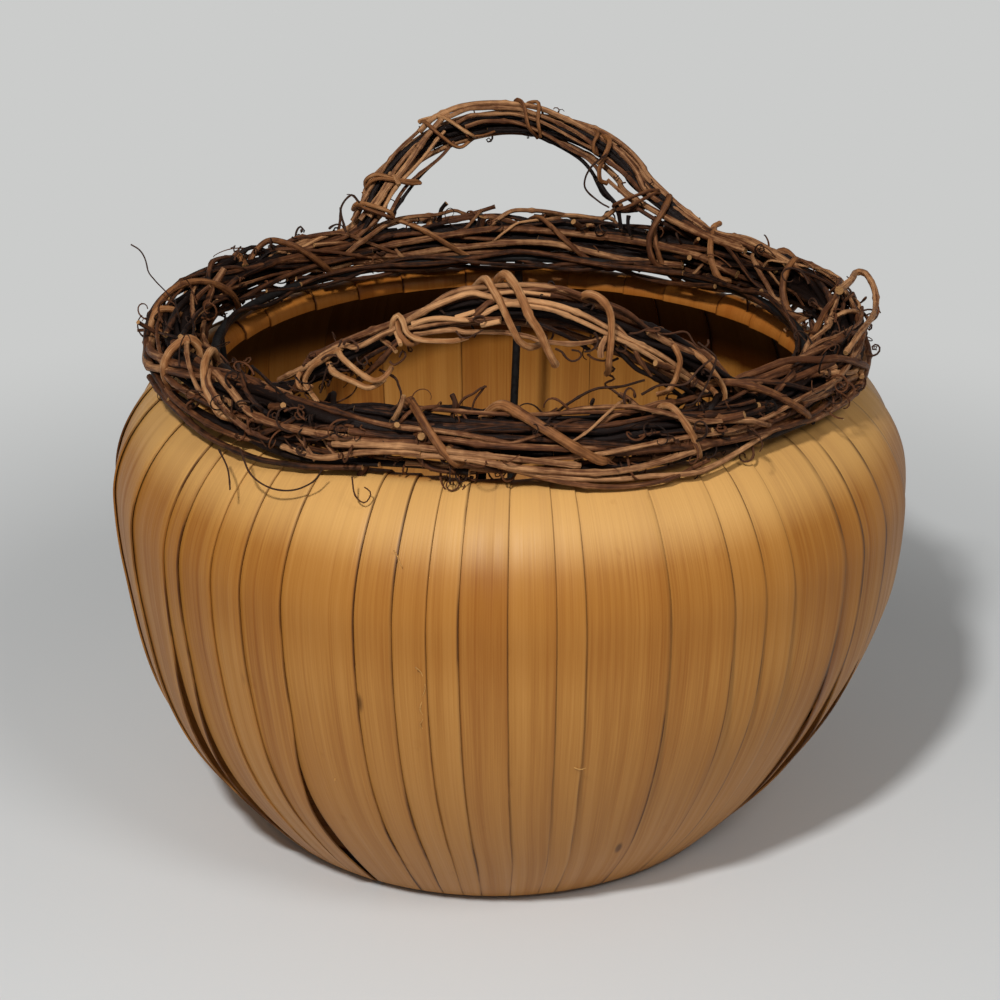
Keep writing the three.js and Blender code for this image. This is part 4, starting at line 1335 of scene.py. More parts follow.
HANDLE_KINK, HANDLE_TAPER = 0.5, (1.1, 0.85)
RUN_SPREAD_OUT, RUN_SPREAD_UP = 4.0, 2.2
RUN_LENGTHS = (1, 2, 3, 3)
# the core vines take a dark tone as painted shade
CORE_PAINTED_SHADE_TONE, HANDLE_TONES = -0.4, (-0.08, 0.08)


def handle_vine(name, number):
    handle, bundle = HANDLES[name], HANDLE_BUNDLES[name]
    dice = random.Random(HANDLE_SEED + NAME_SEEDS * len(name) + number)
    lift_noise, face_noise = wander(dice), wander(dice)
    if number < bundle["core"]:
        phase, winds, tone = PHASE_STEP * number, CORE_WINDS, CORE_PAINTED_SHADE_TONE
        ring_share = CORE_RING * math.sqrt((number + CORE_FILLS_FROM) / bundle["core"])
    else:
        phase = math.radians(bundle["far_side"] + dice.uniform(*FAR_SPREAD))
        ring_share, winds, tone = dice.uniform(*FAR_RING), FAR_WINDS, 0.0
    lift_reach, face_reach = bundle["reach"]
    points = []
    for share in np.linspace(*bundle["ends"], ARCH_STEPS):
        around = phase + winds * (share - 0.5)
        girth = ring_share * np.interp(share, GIRTH_PLACES, bundle["girth"])
        sway = bundle["wander"] * lift_noise(ARCH_SWAY_RATE * share)
        lift_by = lift_reach * girth * math.cos(around) + sway
        sway = bundle["wander"] * face_noise(ARCH_SWAY_RATE * share)
        face_by = face_reach * girth * math.sin(around) + sway
        points.append(arch_point(handle, share, lift_by * MM, face_by * MM))
    for run, goes_first in zip(bundle["runs"], (True, False)):
        added = []
        for i, (degrees, out, up) in enumerate(run[: dice.choice(RUN_LENGTHS)]):
            out += RUN_SPREAD_OUT * ring_share * math.cos(phase + i)
            up += RUN_SPREAD_UP * ring_share * math.sin(phase + i)
            added.append(wreath_place(degrees, out, up))
        points = added[::-1] + points if goes_first else points + added
    line = kinked(smooth_line(points), dice, HANDLE_KINK)
    tone += dice.uniform(*HANDLE_TONES)
    return line, taper(line, dice.uniform(*bundle["thick"]), *HANDLE_TAPER), tone


bundles = {
    name: [handle_vine(name, number) for number in range(bundle["core"] + bundle["far"])]
    for name, bundle in HANDLE_BUNDLES.items()
}
print("vines that fill the handles:", {name: len(lines) for name, lines in bundles.items()})

# %% [markdown]
# The side of each handle that the photograph shows is laid out vine by vine, in millimetres
# from the middle of the basket's foot. So are the wraps that bind it. Painted shade makes the
# bark of these vines darker towards the right of each handle.

# %% Vines on the near side of the handles
NEAR_SEED = 1500
NEAR_TONE = {"front": -0.07, "back": -0.01}
NEAR_THICKNESS = 0.87
# painted shade: the near vines' bark grows darker towards the right
PAINTED_SHADE_TO_RIGHT = -1.3
PLACED_STEP, PLACED_KINK_SPACING, PLACED_TAPER = 0.0015, 0.01, (1.08, 0.86)
NEAR_VINES = {
    "front": [
        (2, 0.15, [(-71.5, -76.5, 181.5), (-62.5, -85, 189), (-57.5, -89, 194), (-52, -92.5, 197.5),
            (-49.5, -93, 198), (-46.5, -95, 198.5), (-38, -100, 204.5), (-34.5, -101, 206.5),
            (-27.5, -101, 211.5), (-24, -102.5, 214), (-18, -102.5, 218), (-10, -102.5, 220),
            (3.5, -103, 221), (14, -102, 219.5), (21, -101, 216)]),
        (2.1, 0.2, [(-36.5, -98, 204.5), (-28.5, -102, 210.5), (-21.5, -104.5, 215.5), (-12.5, -105.5, 219),
            (-8.5, -107, 219), (0.5, -108, 217.5), (3.5, -108, 218), (16.5, -107, 215), (32, -103, 205.5),
            (45.5, -96.5, 196), (61.5, -84.5, 179.5), (67, -80.5, 175.5)]),
        (1.7, 0.25, [(-29, -103.5, 209), (-24, -106, 211), (-14.5, -109, 212), (-11, -109.5, 213),
            (-3, -109, 216.5), (6.5, -109, 216), (14.5, -108, 214), (29, -105, 206), (41, -100, 198),
            (59, -88, 182.5), (64, -82.5, 177.5)]),
        (1.8, 0.1, [(-33.5, -101, 205.5), (-30.5, -103, 207.5), (-21.5, -106.5, 210), (-11, -109.5, 212),
            (-3.5, -110, 212.5)]),
        (1.9, 0.36, [(-9, -110, 211.5), (-3.5, -111.5, 212.5)]),
        (1.8, 0.12, [(-30.5, -100.5, 204.5), (-26.5, -103.5, 206), (-17, -107.5, 208.5), (-14, -108.5, 208),
            (-4.5, -107.5, 208), (4.5, -107, 206.5), (8, -109, 206), (13, -110, 205.5), (21, -108, 204.5),
            (29, -102.5, 204)]),
        (2, 0.05, [(-11, -102, 218.5), (-1, -103, 219), (13, -102, 219.5), (20.5, -101.5, 217),
            (33, -98, 211.5), (40, -95.5, 205), (47, -93, 200), (58, -87, 192.5), (66, -81, 181),
            (69.5, -79.5, 178)]),
        (1.4, 0.3, [(-4, -105, 219), (1.5, -105.5, 219.5), (11, -105, 218.5)]),
        (1.7, -0.05, [(3.5, -107, 210.5), (8, -107.5, 210), (15.5, -107.5, 206.5), (23, -104.5, 201)]),
        (1.8, 0.15, [(29, -102, 209), (31, -102.5, 208), (36, -102, 202), (38, -101.5, 197.5),
            (41.5, -98, 190.5)]),
        (2.1, 0.2, [(40.5, -96, 204), (46.5, -95, 200.5), (57.5, -88.5, 193), (64.5, -84, 182.5)]),
        (1.8, -0.05, [(31.5, -101, 200.5), (39.5, -99, 195), (49.5, -94, 187), (59, -86, 177.5),
            (64, -81.5, 173)]),
        (1.7, -0.1, [(29.5, -100, 201.5), (34, -100, 197), (38, -99, 193), (43, -97, 189.5), (53, -90, 180),
            (59, -85, 174.5)]),
        (2, 0.1, [(42.5, -99.5, 195.5), (50, -94, 191), (59, -87.5, 183.5), (63.5, -83, 180.5)]),
        (2.2, -0.02, [(-46.5, -93, 187), (-40, -99, 195), (-34, -102, 202.5), (-27.5, -102, 206.5),
            (-24, -101.5, 206.5)]),
        (1.8, 0, [(-49, -90, 189.5), (-44.5, -95, 195), (-39.5, -98.5, 199), (-36, -100.5, 201),
            (-32.5, -100, 203.5)]),
        (2, -0.1, [(-70.5, -77, 179), (-57, -87, 188), (-44.5, -91.5, 192)]),
        (1.8, 0.3, [(-16.5, -108, 212.5), (-11, -109.5, 215)]),
        (2, 0, [(-11, -108.5, 213.5), (-9, -109.5, 215.5), (-7, -109, 217.5), (-5.5, -108, 217.5)]),
        (2.2, 0.2, [(26, -107, 200.5), (26, -107.5, 203), (27, -106.5, 204.5), (28, -105, 205.5)]),
        (1.8, 0.2, [(-34, -101, 205.5), (-32.5, -107, 203.5)]),
    ],
    "back": [
        (2.4, 0.1, [(-33.5, 101.5, 215), (-29.5, 102.5, 219), (-26, 103, 221), (-13.5, 105, 225),
            (8.5, 104.5, 224), (23, 102, 218.5), (37, 99, 211), (44.5, 96, 205), (54, 91.5, 194),
            (69.5, 88, 183), (74, 87, 181)]),
        (2, 0.08, [(-23, 101.5, 220), (-16, 103, 223), (-12, 103, 223.5), (-2, 103, 223.5), (9, 102.5, 222),
            (24, 100, 216), (31, 97.5, 211.5), (32.5, 97, 208.5)]),
        (1.6, 0.06, [(-19.5, 100.5, 219), (-11.5, 102, 222), (8.5, 101, 220), (28, 97, 211),
            (32.5, 97, 209)]),
        (1.8, 0.04, [(-16.5, 101.5, 217), (-8, 102, 219), (6.5, 101.5, 217), (25, 97.5, 208), (32, 95, 203),
            (33.5, 94.5, 200)]),
        (1.8, -0.3, [(-8, 103, 215), (-2.5, 103.5, 216), (3.5, 103, 215.5), (23, 100, 207.5), (31, 97, 201),
            (34.5, 94, 193.5), (37.5, 93, 191)]),
        (2.8, 0.14, [(-52, 87.5, 186.5), (-45.5, 91, 195.5), (-42, 92, 199), (-35.5, 95.5, 207.5),
            (-26, 100.5, 218.5), (-22.5, 103, 221)]),
        (1.9, 0.1, [(-55, 87, 185.5), (-47.5, 90.5, 196), (-38.5, 95.5, 207), (-33, 100, 213)]),
        (1.8, 0.05, [(-58.5, 87, 184.5), (-46, 95, 204), (-34, 101.5, 215)]),
        (1.7, 0.1, [(-49, 87, 185.5), (-41.5, 91.5, 197), (-31.5, 95.5, 207), (-24, 100.5, 215.5)]),
        (1.6, 0.05, [(-46, 87, 185), (-38.5, 92, 196.5), (-27, 96.5, 205), (-21, 100.5, 211)]),
        (1.5, -0.3, [(-43.5, 89, 186.5), (-36, 94, 197), (-28.5, 97, 204)]),
        (2.4, 0.12, [(47.5, 93.5, 200.5), (53, 89.5, 193.5), (74.5, 86, 180.5), (79.5, 86, 178)]),
        (2.2, 0.05, [(35.5, 95.5, 206), (43.5, 93, 200.5), (49.5, 91, 194)]),
        (1.6, 0.1, [(36.5, 93.5, 199), (44, 90, 193), (46.5, 90, 191)]),
        (1.8, 0, [(47.5, 89, 189.5), (55, 86.5, 185), (64.5, 85, 180.5), (73, 83.5, 174.5)]),
        (1.8, 0, [(59, 87.5, 184), (69, 85, 179.5), (73.5, 84, 175.5)]),
        (2, -0.35, [(33, 94.5, 198.5), (39.5, 90.5, 190.5), (41, 89, 186.5), (42, 87.5, 181.5)]),
        (1.6, -0.3, [(44.5, 88, 186.5), (44, 86.5, 183.5), (45, 85.5, 179.5)]),
    ],
}


def placed_line(seed, thick, tone, places, kink=0.3):
    """A vine through given places, in millimetres."""
    dice = random.Random(seed)
    line = smooth_line(np.array(places) * MM, PLACED_STEP)
    line = kinked(line, dice, kink, PLACED_KINK_SPACING)
    return line, taper(line, thick, *PLACED_TAPER), tone + dice.uniform(*PLACED_TONES)


def near_vine(name, number, row):
    vine, thick, tone = placed_line(NEAR_SEED + NAME_SEEDS * len(name) + number, *row)
    tone = tone + NEAR_TONE[name] + PAINTED_SHADE_TO_RIGHT * np.clip(vine[:, 0], 0, None)
    return vine, NEAR_THICKNESS * thick, tone


for name, rows in NEAR_VINES.items():
    vines = bundles[name] + [near_vine(name, i, row) for i, row in enumerate(rows)]
    nodes = [f"{name}_handle_vine_{i}" for i in (1, 2, 3)]
    shape = {"sides": 9, "step": 0.0016, "spacing": 0.024}
    add_vines(f"{name}_handle_vines", "dark_vine", nodes, vines, dark_vine, **shape)

# %% Wraps of the handles
HANDLE_WRAP_SEED = 1700
WRAP_THICKNESS = 0.88
HANDLE_WRAPS = {
    "front": [
        (2, 0.05, [(-51.5, -93, 197.5), (-59.5, -89, 191.5), (-62, -87.5, 188), (-63, -87, 184.5),
            (-59.5, -89.5, 180), (-57.5, -91, 178.5), (-48, -95.5, 178), (-44.5, -95.5, 178)]),
        (2.6, 0.03, [(-11, -96.5, 217.5), (-8.5, -102, 222), (-7, -105.5, 223), (-5.5, -108.5, 221),
            (-3.5, -110, 218), (0.5, -113, 210.5), (2.5, -112.5, 206.5), (5.5, -110, 204), (8, -105, 203)]),
        (3, 0.05, [(-5, -97, 218), (-3, -102.5, 223.5), (-1.5, -104.5, 224.5), (0, -107.5, 224),
            (2, -109.5, 221.5), (5.5, -113, 214), (8, -113.5, 210), (11.5, -112.5, 201.5),
            (12.5, -110, 198.5)]),
        (2.6, 0.05, [(20, -97, 213.5), (20.5, -100, 216), (22, -102.5, 218), (24.5, -103.5, 218),
            (27, -105, 216.5), (29, -105.5, 212.5), (29.5, -107, 203.5), (29, -106.5, 198.5),
            (29, -103.5, 194.5), (28.5, -100, 192)]),
        (2.1, 0.03, [(46.5, -88, 199.5), (47.5, -92, 199.5), (49, -95, 198.5), (50.5, -95.5, 195),
            (50, -96, 191.5), (49, -96.5, 188), (47, -96.5, 185), (44, -95, 183.5)]),
        (2.2, 0.05, [(53, -89, 196), (56, -90, 194.5), (59, -90, 191.5), (64.5, -87.5, 183.5),
            (65.5, -87, 179), (65, -87.5, 176), (63.5, -87.5, 172.5), (61, -86, 169)]),
        (2, 0, [(60, -82, 182.5), (61, -86, 182), (62.5, -87.5, 180.5), (61.5, -88.5, 178),
            (59, -89, 175.5), (57.5, -87, 173.5)]),
        (2, 0.02, [(-36.5, -94, 201), (-35.5, -99.5, 206), (-35, -101.5, 209.5), (-33.5, -101.5, 211),
            (-32, -104, 209.5), (-31.5, -105, 207.5), (-30, -105.5, 206), (-26.5, -106.5, 205),
            (-17.5, -107.5, 205), (-13, -106, 205.5)]),
        (1.9, -0.02, [(-33.5, -97.5, 209), (-33.5, -102, 208.5), (-33, -104.5, 206.5),
            (-31.5, -105.5, 204.5), (-30, -105, 203), (-27.5, -102, 203)]),
        (2.1, 0.05, [(-51.5, -87, 198), (-52, -92, 197), (-50.5, -95.5, 195.5), (-44.5, -99.5, 191.5),
            (-41, -101.5, 190.5), (-38.5, -102, 191.5), (-37, -101.5, 193), (-36, -98, 193.5)]),
        (2.2, 0.05, [(-56, -87, 192.5), (-55, -91, 191.5), (-53.5, -93, 189.5), (-47, -98, 188.5),
            (-43.5, -99.5, 187.5), (-40.5, -100, 188.5), (-38.5, -98, 189.5)]),
        (1.9, 0, [(-64, -82, 187), (-65.5, -84.5, 185), (-65, -86.5, 183), (-62.5, -88, 182.5),
            (-61, -87, 183.5)]),
    ],
    "back": [
        (1.8, -0.02, [(-53, 95, 194.5), (-53.5, 93.5, 197.5), (-52, 91.5, 200), (-49, 91.5, 201),
            (-42, 90.5, 199.5), (-38.5, 90.5, 199), (-34, 92, 198.5), (-33, 95, 197)]),
        (1.6, -0.04, [(-53, 92.5, 196.5), (-51, 91, 199), (-47.5, 90.5, 200), (-41, 89.5, 199),
            (-37, 90.5, 198), (-33, 92, 198)]),
        (2, -0.02, [(-58, 91.5, 188), (-57, 89, 190.5), (-54.5, 87.5, 191.5), (-50.5, 86.5, 191),
            (-47, 86, 190), (-44, 86.5, 188.5), (-43, 88.5, 186)]),
        (1.8, -0.16, [(-58, 90.5, 188.5), (-55.5, 87, 190), (-52, 85.5, 189.5), (-45, 85.5, 187),
            (-43.5, 88.5, 185.5)]),
        (1.7, 0.06, [(-33.5, 105.5, 218), (-31.5, 104, 219.5), (-27, 102, 221), (-23.5, 100, 220.5),
            (-16.5, 98.5, 216), (-13.5, 99, 214), (-13, 101.5, 213)]),
        (1.7, -0.1, [(-33, 105.5, 218.5), (-30.5, 100.5, 218.5), (-28, 98.5, 216.5), (-22.5, 97.5, 212),
            (-20, 99, 210), (-17.5, 100.5, 209.5), (-13, 103, 212.5)]),
        (1.2, -0.1, [(-13, 99, 214), (-10, 100, 214), (-5.5, 102, 215)]),
        (1.7, -0.12, [(2, 108, 223.5), (2.5, 106.5, 225.5), (4, 104.5, 226), (5.5, 102, 224),
            (7, 99, 217.5), (10.5, 102, 212.5)]),
        (1.6, -0.06, [(7, 108, 224), (9, 106, 225), (11, 103, 225), (10.5, 99.5, 219.5), (11, 98.5, 216.5),
            (11.5, 100, 213)]),
        (1.7, -0.1, [(30, 104, 214.5), (32, 101.5, 215.5), (33, 98, 214.5), (31.5, 96.5, 212),
            (31.5, 96, 208.5), (33, 97.5, 207)]),
        (2.1, -0.05, [(34, 102.5, 211.5), (35, 100.5, 213.5), (37, 97.5, 213), (36.5, 95.5, 210.5),
            (33.5, 93, 205), (33, 92.5, 202), (33.5, 92.5, 199), (36, 94, 197.5)]),
        (1.5, -0.14, [(38.5, 90.5, 189.5), (39, 88, 191), (43.5, 87.5, 193.5), (52, 89, 196),
            (55.5, 91.5, 195.5)]),
        (1.5, -0.14, [(40.5, 88, 188.5), (43.5, 86.5, 190), (50.5, 87.5, 193.5), (54, 89, 195),
            (56, 91.5, 194)]),
        (2.6, -0.16, [(58.5, 93, 191.5), (59.5, 90.5, 193.5), (58.5, 87, 192), (57, 85, 189.5),
            (52, 81, 180.5), (53, 79, 172.5), (56, 79.5, 169.5), (59, 80.5, 167.5)]),
        (2.3, 0.02, [(78.5, 87.5, 184), (75.5, 83.5, 183.5), (74.5, 81.5, 180), (75, 80, 177),
            (77, 79.5, 173), (79, 80.5, 170)]),
    ],
}


def handle_wrap(name, number, row):
    wrap, thick, tone = placed_line(HANDLE_WRAP_SEED + NAME_SEEDS * len(name) + number, *row, kink=0.2)
    return wrap, WRAP_THICKNESS * thick, tone


for name, rows in HANDLE_WRAPS.items():
    wraps = [handle_wrap(name, i, row) for i, row in enumerate(rows)]
    shape = {"sides": 9, "step": 0.0012, "spacing": 0.02, "swell": 0.22, "depth": 0.2}
    nodes = [f"{name}_handle_binding"]
    add_vines(f"{name}_handle_wraps", "binding_vine", nodes, wraps, binding_vine, **shape)

# %% [markdown]
# ## Tendrils and stubs
# Wild vines hold on with tendrils, and these dry into dark curls. A tendril leaves its root
# nearly straight and bends ever tighter, so it is walked step by step: each step turns the
# heading a little more than the last. Short stubs show where side shoots were cut off.

# %% Helper: walk a tendril
TENDRIL_STEPS = 24
ALONG_RANGE = (-2.2, 2.2)


def walk_tendril(root, heading, dice, length, turns, climb):
    heading = Vector(heading).normalized()
    axis = heading.orthogonal().normalized()
    axis.rotate(Quaternion(heading, dice.uniform(0, FULL_TURN)))
    place = Vector(root)
    points = [place.copy()]
    for i in range(TENDRIL_STEPS):
        bend = 2 * (i + 0.5) / TENDRIL_STEPS * turns * FULL_TURN / TENDRIL_STEPS
        heading.rotate(Quaternion(axis, bend))
        place = place + (heading + climb * axis) * (length / TENDRIL_STEPS)
        points.append(place.copy())
    return np.array([tuple(point) for point in points])


def random_heading(dice, outward, along, spread):
    mixed = outward + along * dice.uniform(*ALONG_RANGE)
    return unit(mixed) + np.array([dice.gauss(0, spread) for _ in range(3)])


print("a tendril is walked in", TENDRIL_STEPS, "steps")

# %% [markdown]
# A root is a place on the wreath or on a handle, with the way out of the bundle there and the
# way along it. On the wreath four tendrils in ten grow in thickets, which have their places.

# %% Roots on the wreath and on the handles
THICKET_DEGREES = [-134, -124, -113, -98, -70, -60, -30, 14, 178]
THICKET_CHANCE, THICKET_SPREAD, THICKET_AROUND = 0.4, 4, (-80, 40)
ROOT_AROUND, ROOT_REACH = (-110, 250), (6.5, 9.5)
ROOT_SHARE, ROOT_DEPTH = (0.02, 0.98), 0.8
ALONG_STEP = 0.02


def wreath_root(dice):
    angle = dice.uniform(0, FULL_TURN)
    around = math.radians(dice.uniform(*ROOT_AROUND))
    if dice.random() < THICKET_CHANCE:
        angle = math.radians(dice.choice(THICKET_DEGREES) + dice.gauss(0, THICKET_SPREAD))
        around = math.radians(dice.uniform(*THICKET_AROUND))
    reach = dice.uniform(*ROOT_REACH) * MM
    out, up = reach * math.cos(around), reach * math.sin(around)
    root = wreath_point(angle, out, up)
    outward = (wreath_point(angle, 2 * out, 2 * up) - root) / reach
    return root, outward, unit(wreath_point(angle + ALONG_STEP, out, up) - root)


def handle_root(name, dice):
    lift_reach, face_reach = HANDLE_BUNDLES[name]["reach"]
    share = dice.uniform(*ROOT_SHARE)
    turn = dice.uniform(0, FULL_TURN)
    lift_by, face_by = lift_reach * math.cos(turn) * MM, face_reach * math.sin(turn) * MM

    def point(place, depth):
        return arch_point(HANDLES[name], place, depth * lift_by, depth * face_by)

    root = point(share, ROOT_DEPTH)
    outward = unit(point(share, ROOT_DEPTH + 1) - root)
    return root, outward, unit(point(share + ALONG_STEP, ROOT_DEPTH) - root)


ROOTS = {
    "wreath": wreath_root,
    "front": lambda dice: handle_root("front", dice),
    "back": lambda dice: handle_root("back", dice),
}
print("roots on:", ", ".join(ROOTS))

# %% Tendrils
TENDRIL_COUNTS = {"wreath": 480, "front": 44, "back": 34}
TENDRIL_LENGTH = {"wreath": (4, 20), "front": (4, 14), "back": (3, 8)}
TENDRIL_THICKNESS = (0.4, 0.85)
TENDRIL_TURNS, TENDRIL_CLIMB, TENDRIL_TONES = (0.3, 2.2), (-0.3, 0.3), (-0.15, 0.25)
TENDRIL_SPREAD, TENDRIL_KINK, TENDRIL_TAPER = 0.35, (0.25, 0.006), (1.2, 0.55)
TENDRIL_SEED, PLACE_SEEDS, PLACED_SEED, PLACED_TENDRIL_TONE = 4000, 1000, 6000, 0.02
PLACED_TENDRILS = [
    (0.8, [(-17, -104, 181), (-15, -104, 185), (-12, -105, 187), (-10, -105, 189), (-8, -105, 190)]),
    (0.7, [(-8, -105, 190), (-9, -104, 188), (-11, -104, 185), (-12, -104, 181), (-15, -103, 179)]),
    (1.6, [(-18, -104, 187), (-17, -104, 184), (-18, -104, 180), (-18, -103, 176)]),
    (0.8, [(32, -98, 196), (29, -97, 194), (31, -99, 193), (29, -97, 191), (31, -99, 190), (28, -98, 188),
        (31, -98, 186), (34, -99, 184)]),
    (0.9, [(10, -101, 177), (16, -100, 182), (21, -99, 185), (26, -99, 187), (33, -98, 187),
        (40, -98, 189)]),
    (0.8, [(-40, -97, 192), (-35, -98, 190), (-34, -98, 188), (-33, -99, 185), (-34, -99, 182),
        (-37, -100, 180)]),
    (0.5, [(-128, 4, 201), (-125, 3, 199), (-123, 2, 195), (-122, 1, 192), (-119, 0, 189),
        (-114, -2, 183)]),
    (0.45, [(82, 85, 180), (84, 84, 175), (86, 86, 178), (88, 85, 174), (89, 86, 177), (91, 84, 173),
        (93, 86, 175), (95, 85, 171), (97, 84, 173), (100, 82, 168)]),
    (0.7, [(44, -93, 202), (47, -93, 202), (52, -93, 203), (53.5, -93, 201.5), (55, -93, 199),
        (57, -93.5, 198), (59, -93, 199), (59, -92.5, 200.5)]),
    (0.7, [(56, -94, 200), (61, -95, 196), (61, -95.5, 194), (60, -96, 191), (58, -97, 186), (55, -99, 182),
        (52, -101, 182)]),
    (0.8, [(39, -99, 185), (45, -100, 189), (52, -100, 189), (56, -98, 193), (60, -97, 196)]),
    (0.6, [(-83, -95, 166), (-79, -101, 160), (-73, -105, 157), (-66, -107, 157), (-60, -108, 160),
        (-57, -107, 164)]),
    (0.6, [(-90, -90, 164), (-87, -96, 160), (-86, -101, 155)]),
    (0.5, [(-48, -112, 163), (-47, -114, 158), (-44, -115, 156), (-42, -114, 159), (-44, -114, 161)]),
    (0.6, [(88, -30, 192), (92, -34, 184), (98, -38, 178), (101, -40, 172)]),
    (0.9, [(-60, 76, 184), (-62, 79, 192), (-58, 80, 197), (-55, 80, 194)]),
    (0.8, [(36, 92, 209), (30, 90, 204), (28, 90, 197), (33, 89, 192), (37, 88, 190)]),
    (0.7, [(-50.5, -95, 199.5), (-50, -95.5, 200.5), (-48.5, -96, 201.5), (-46.5, -97, 200.5),
        (-45.5, -98, 199), (-46.5, -97.5, 198)]),
    (0.7, [(-57.5, -91.5, 193.5), (-56, -92, 195), (-53.5, -93.5, 195.5), (-52, -94.5, 195),
        (-52.5, -94, 193), (-55, -93, 192.5)]),
    (0.7, [(-55.5, -91.5, 192), (-58, -90, 182)]),
    (0.6, [(-51.5, -94.5, 191.5), (-49.5, -96, 191.5), (-48, -97, 193), (-49, -96, 194), (-51, -95, 193)]),
    (0.5, [(-68, -85, 182.5), (-65.5, -86.5, 181.5), (-62.5, -88.5, 182), (-61, -89.5, 183.5),
        (-61.5, -89, 185)]),
    (0.7, [(-36, -102, 196.5), (-35, -102.5, 195.5), (-33.5, -103.5, 196.5), (-31.5, -104, 198.5),
        (-31.5, -104, 200), (-32.5, -103, 200.5), (-33.5, -103, 198.5)]),
    (0.7, [(12.5, -110, 203.5), (14.5, -110, 202.5), (15.5, -110, 201), (17.5, -109.5, 199.5),
        (19.5, -109, 200), (20.5, -108, 201), (19.5, -108, 202), (17.5, -109, 202.5)]),
    (0.7, [(22, -108.5, 201), (24, -108, 199.5), (27, -106.5, 198.5), (29, -105.5, 199)]),
    (0.7, [(24.5, -108, 207.5), (25.5, -107.5, 206), (25.5, -108.5, 204), (23.5, -109.5, 202.5),
        (21.5, -110.5, 202.5)]),
    (0.6, [(30.5, -106, 202.5), (32, -105.5, 201), (34, -104.5, 201), (33.5, -104.5, 202.5)]),
    (0.7, [(34.5, -102.5, 206), (37, -101, 205.5), (40.5, -99, 206), (42.5, -98, 205), (43.5, -98, 203)]),
    (0.7, [(-11.5, -111, 213), (-10.5, -111, 214), (-8.5, -111, 214), (-8, -112, 213), (-9.5, -112, 212),
        (-11, -111.5, 212.5)]),
    (0.6, [(-16.5, -109, 208.5), (-15, -110, 207), (-13, -110.5, 207), (-8.5, -110.5, 209.5)]),
    (0.7, [(-44, -99, 197), (-43, -99.5, 195.5), (-44, -99, 194.5), (-46, -97.5, 195),
        (-46.5, -97, 196.5)]),
]


def loose_tendril(place, number):
    dice = random.Random(TENDRIL_SEED + PLACE_SEEDS * len(place) + number)
    root, outward, along = ROOTS[place](dice)
    heading = random_heading(dice, outward, along, TENDRIL_SPREAD)
    length = dice.uniform(*TENDRIL_LENGTH[place]) * MM
    turns, climb = dice.uniform(*TENDRIL_TURNS), dice.uniform(*TENDRIL_CLIMB)
    line = walk_tendril(root, heading, dice, length, turns, climb)
    thick = taper(line, dice.uniform(*TENDRIL_THICKNESS), *TENDRIL_TAPER)
    return kinked(line, dice, *TENDRIL_KINK), thick, dice.uniform(*TENDRIL_TONES)


tendrils = [
    placed_line(PLACED_SEED + number, thick, PLACED_TENDRIL_TONE, places, kink=0.2)
    for number, (thick, places) in enumerate(PLACED_TENDRILS)
]
for place, count in TENDRIL_COUNTS.items():
    tendrils += [loose_tendril(place, number) for number in range(count)]
tendril_shape = {"sides": 5, "step": 0.0011, "spacing": 0.012, "swell": 0.3}
add_vines("tendrils", "dark_vine", (), tendrils, tendril_bark, **tendril_shape)

# %% Torn fibres of the strips
TORN_THICKNESS, TORN_TAPER, TORN_TONE_STEP = 0.34, (1.2, 0.6), 0.02
TORN_FIBRES = [
    [(-105.6, 145.5, 2.4), (-105.2, 143.8, 0.9), (-104.8, 142.2, 0.6), (-104.3, 141.3, 1.6)],
    [(-102, 111.5, 2), (-101.5, 109.5, 0.8), (-101.1, 106.5, 0.5), (-101, 103.5, 0.9),
        (-101.5, 100.5, 0.5)],
    [(-101.5, 99, 0.4), (-101.8, 96, 0.8), (-101.4, 93, 0.4), (-101.9, 90.5, 1), (-101.5, 88, 0.3)],
    [(-116.4, 64.5, 0.3), (-115.9, 62.8, 0.9), (-115.7, 61.5, 2.2)],
    [(-81.5, 74, 0.3), (-80.8, 73.4, 1.2), (-80, 74.2, 1.6)],
]
wall_points = line[CORNER_POINTS : CORNER_POINTS + WALL_POINTS + SHOULDER_POINTS - 2]


def torn_fibre(number, places):
    """Each place is an angle in degrees, a height and how far it stands off, in millimetres."""
    points = []
    for degrees, height, off in places:
        radius = np.interp(height * MM, wall_points[:, 1], wall_points[:, 0]) + off * MM
        angle = math.radians(degrees)
        points.append((radius * math.cos(angle), radius * math.sin(angle), height * MM))
    fibre = smooth_line(points, step=0.001)
    return fibre, taper(fibre, TORN_THICKNESS, *TORN_TAPER), TORN_TONE_STEP * number


torn_fibres = [torn_fibre(number, places) for number, places in enumerate(TORN_FIBRES)]
add_vines("torn_fibres", "strip_wood", (), torn_fibres, torn_wood, sides=5, step=0.001, swell=0.0)

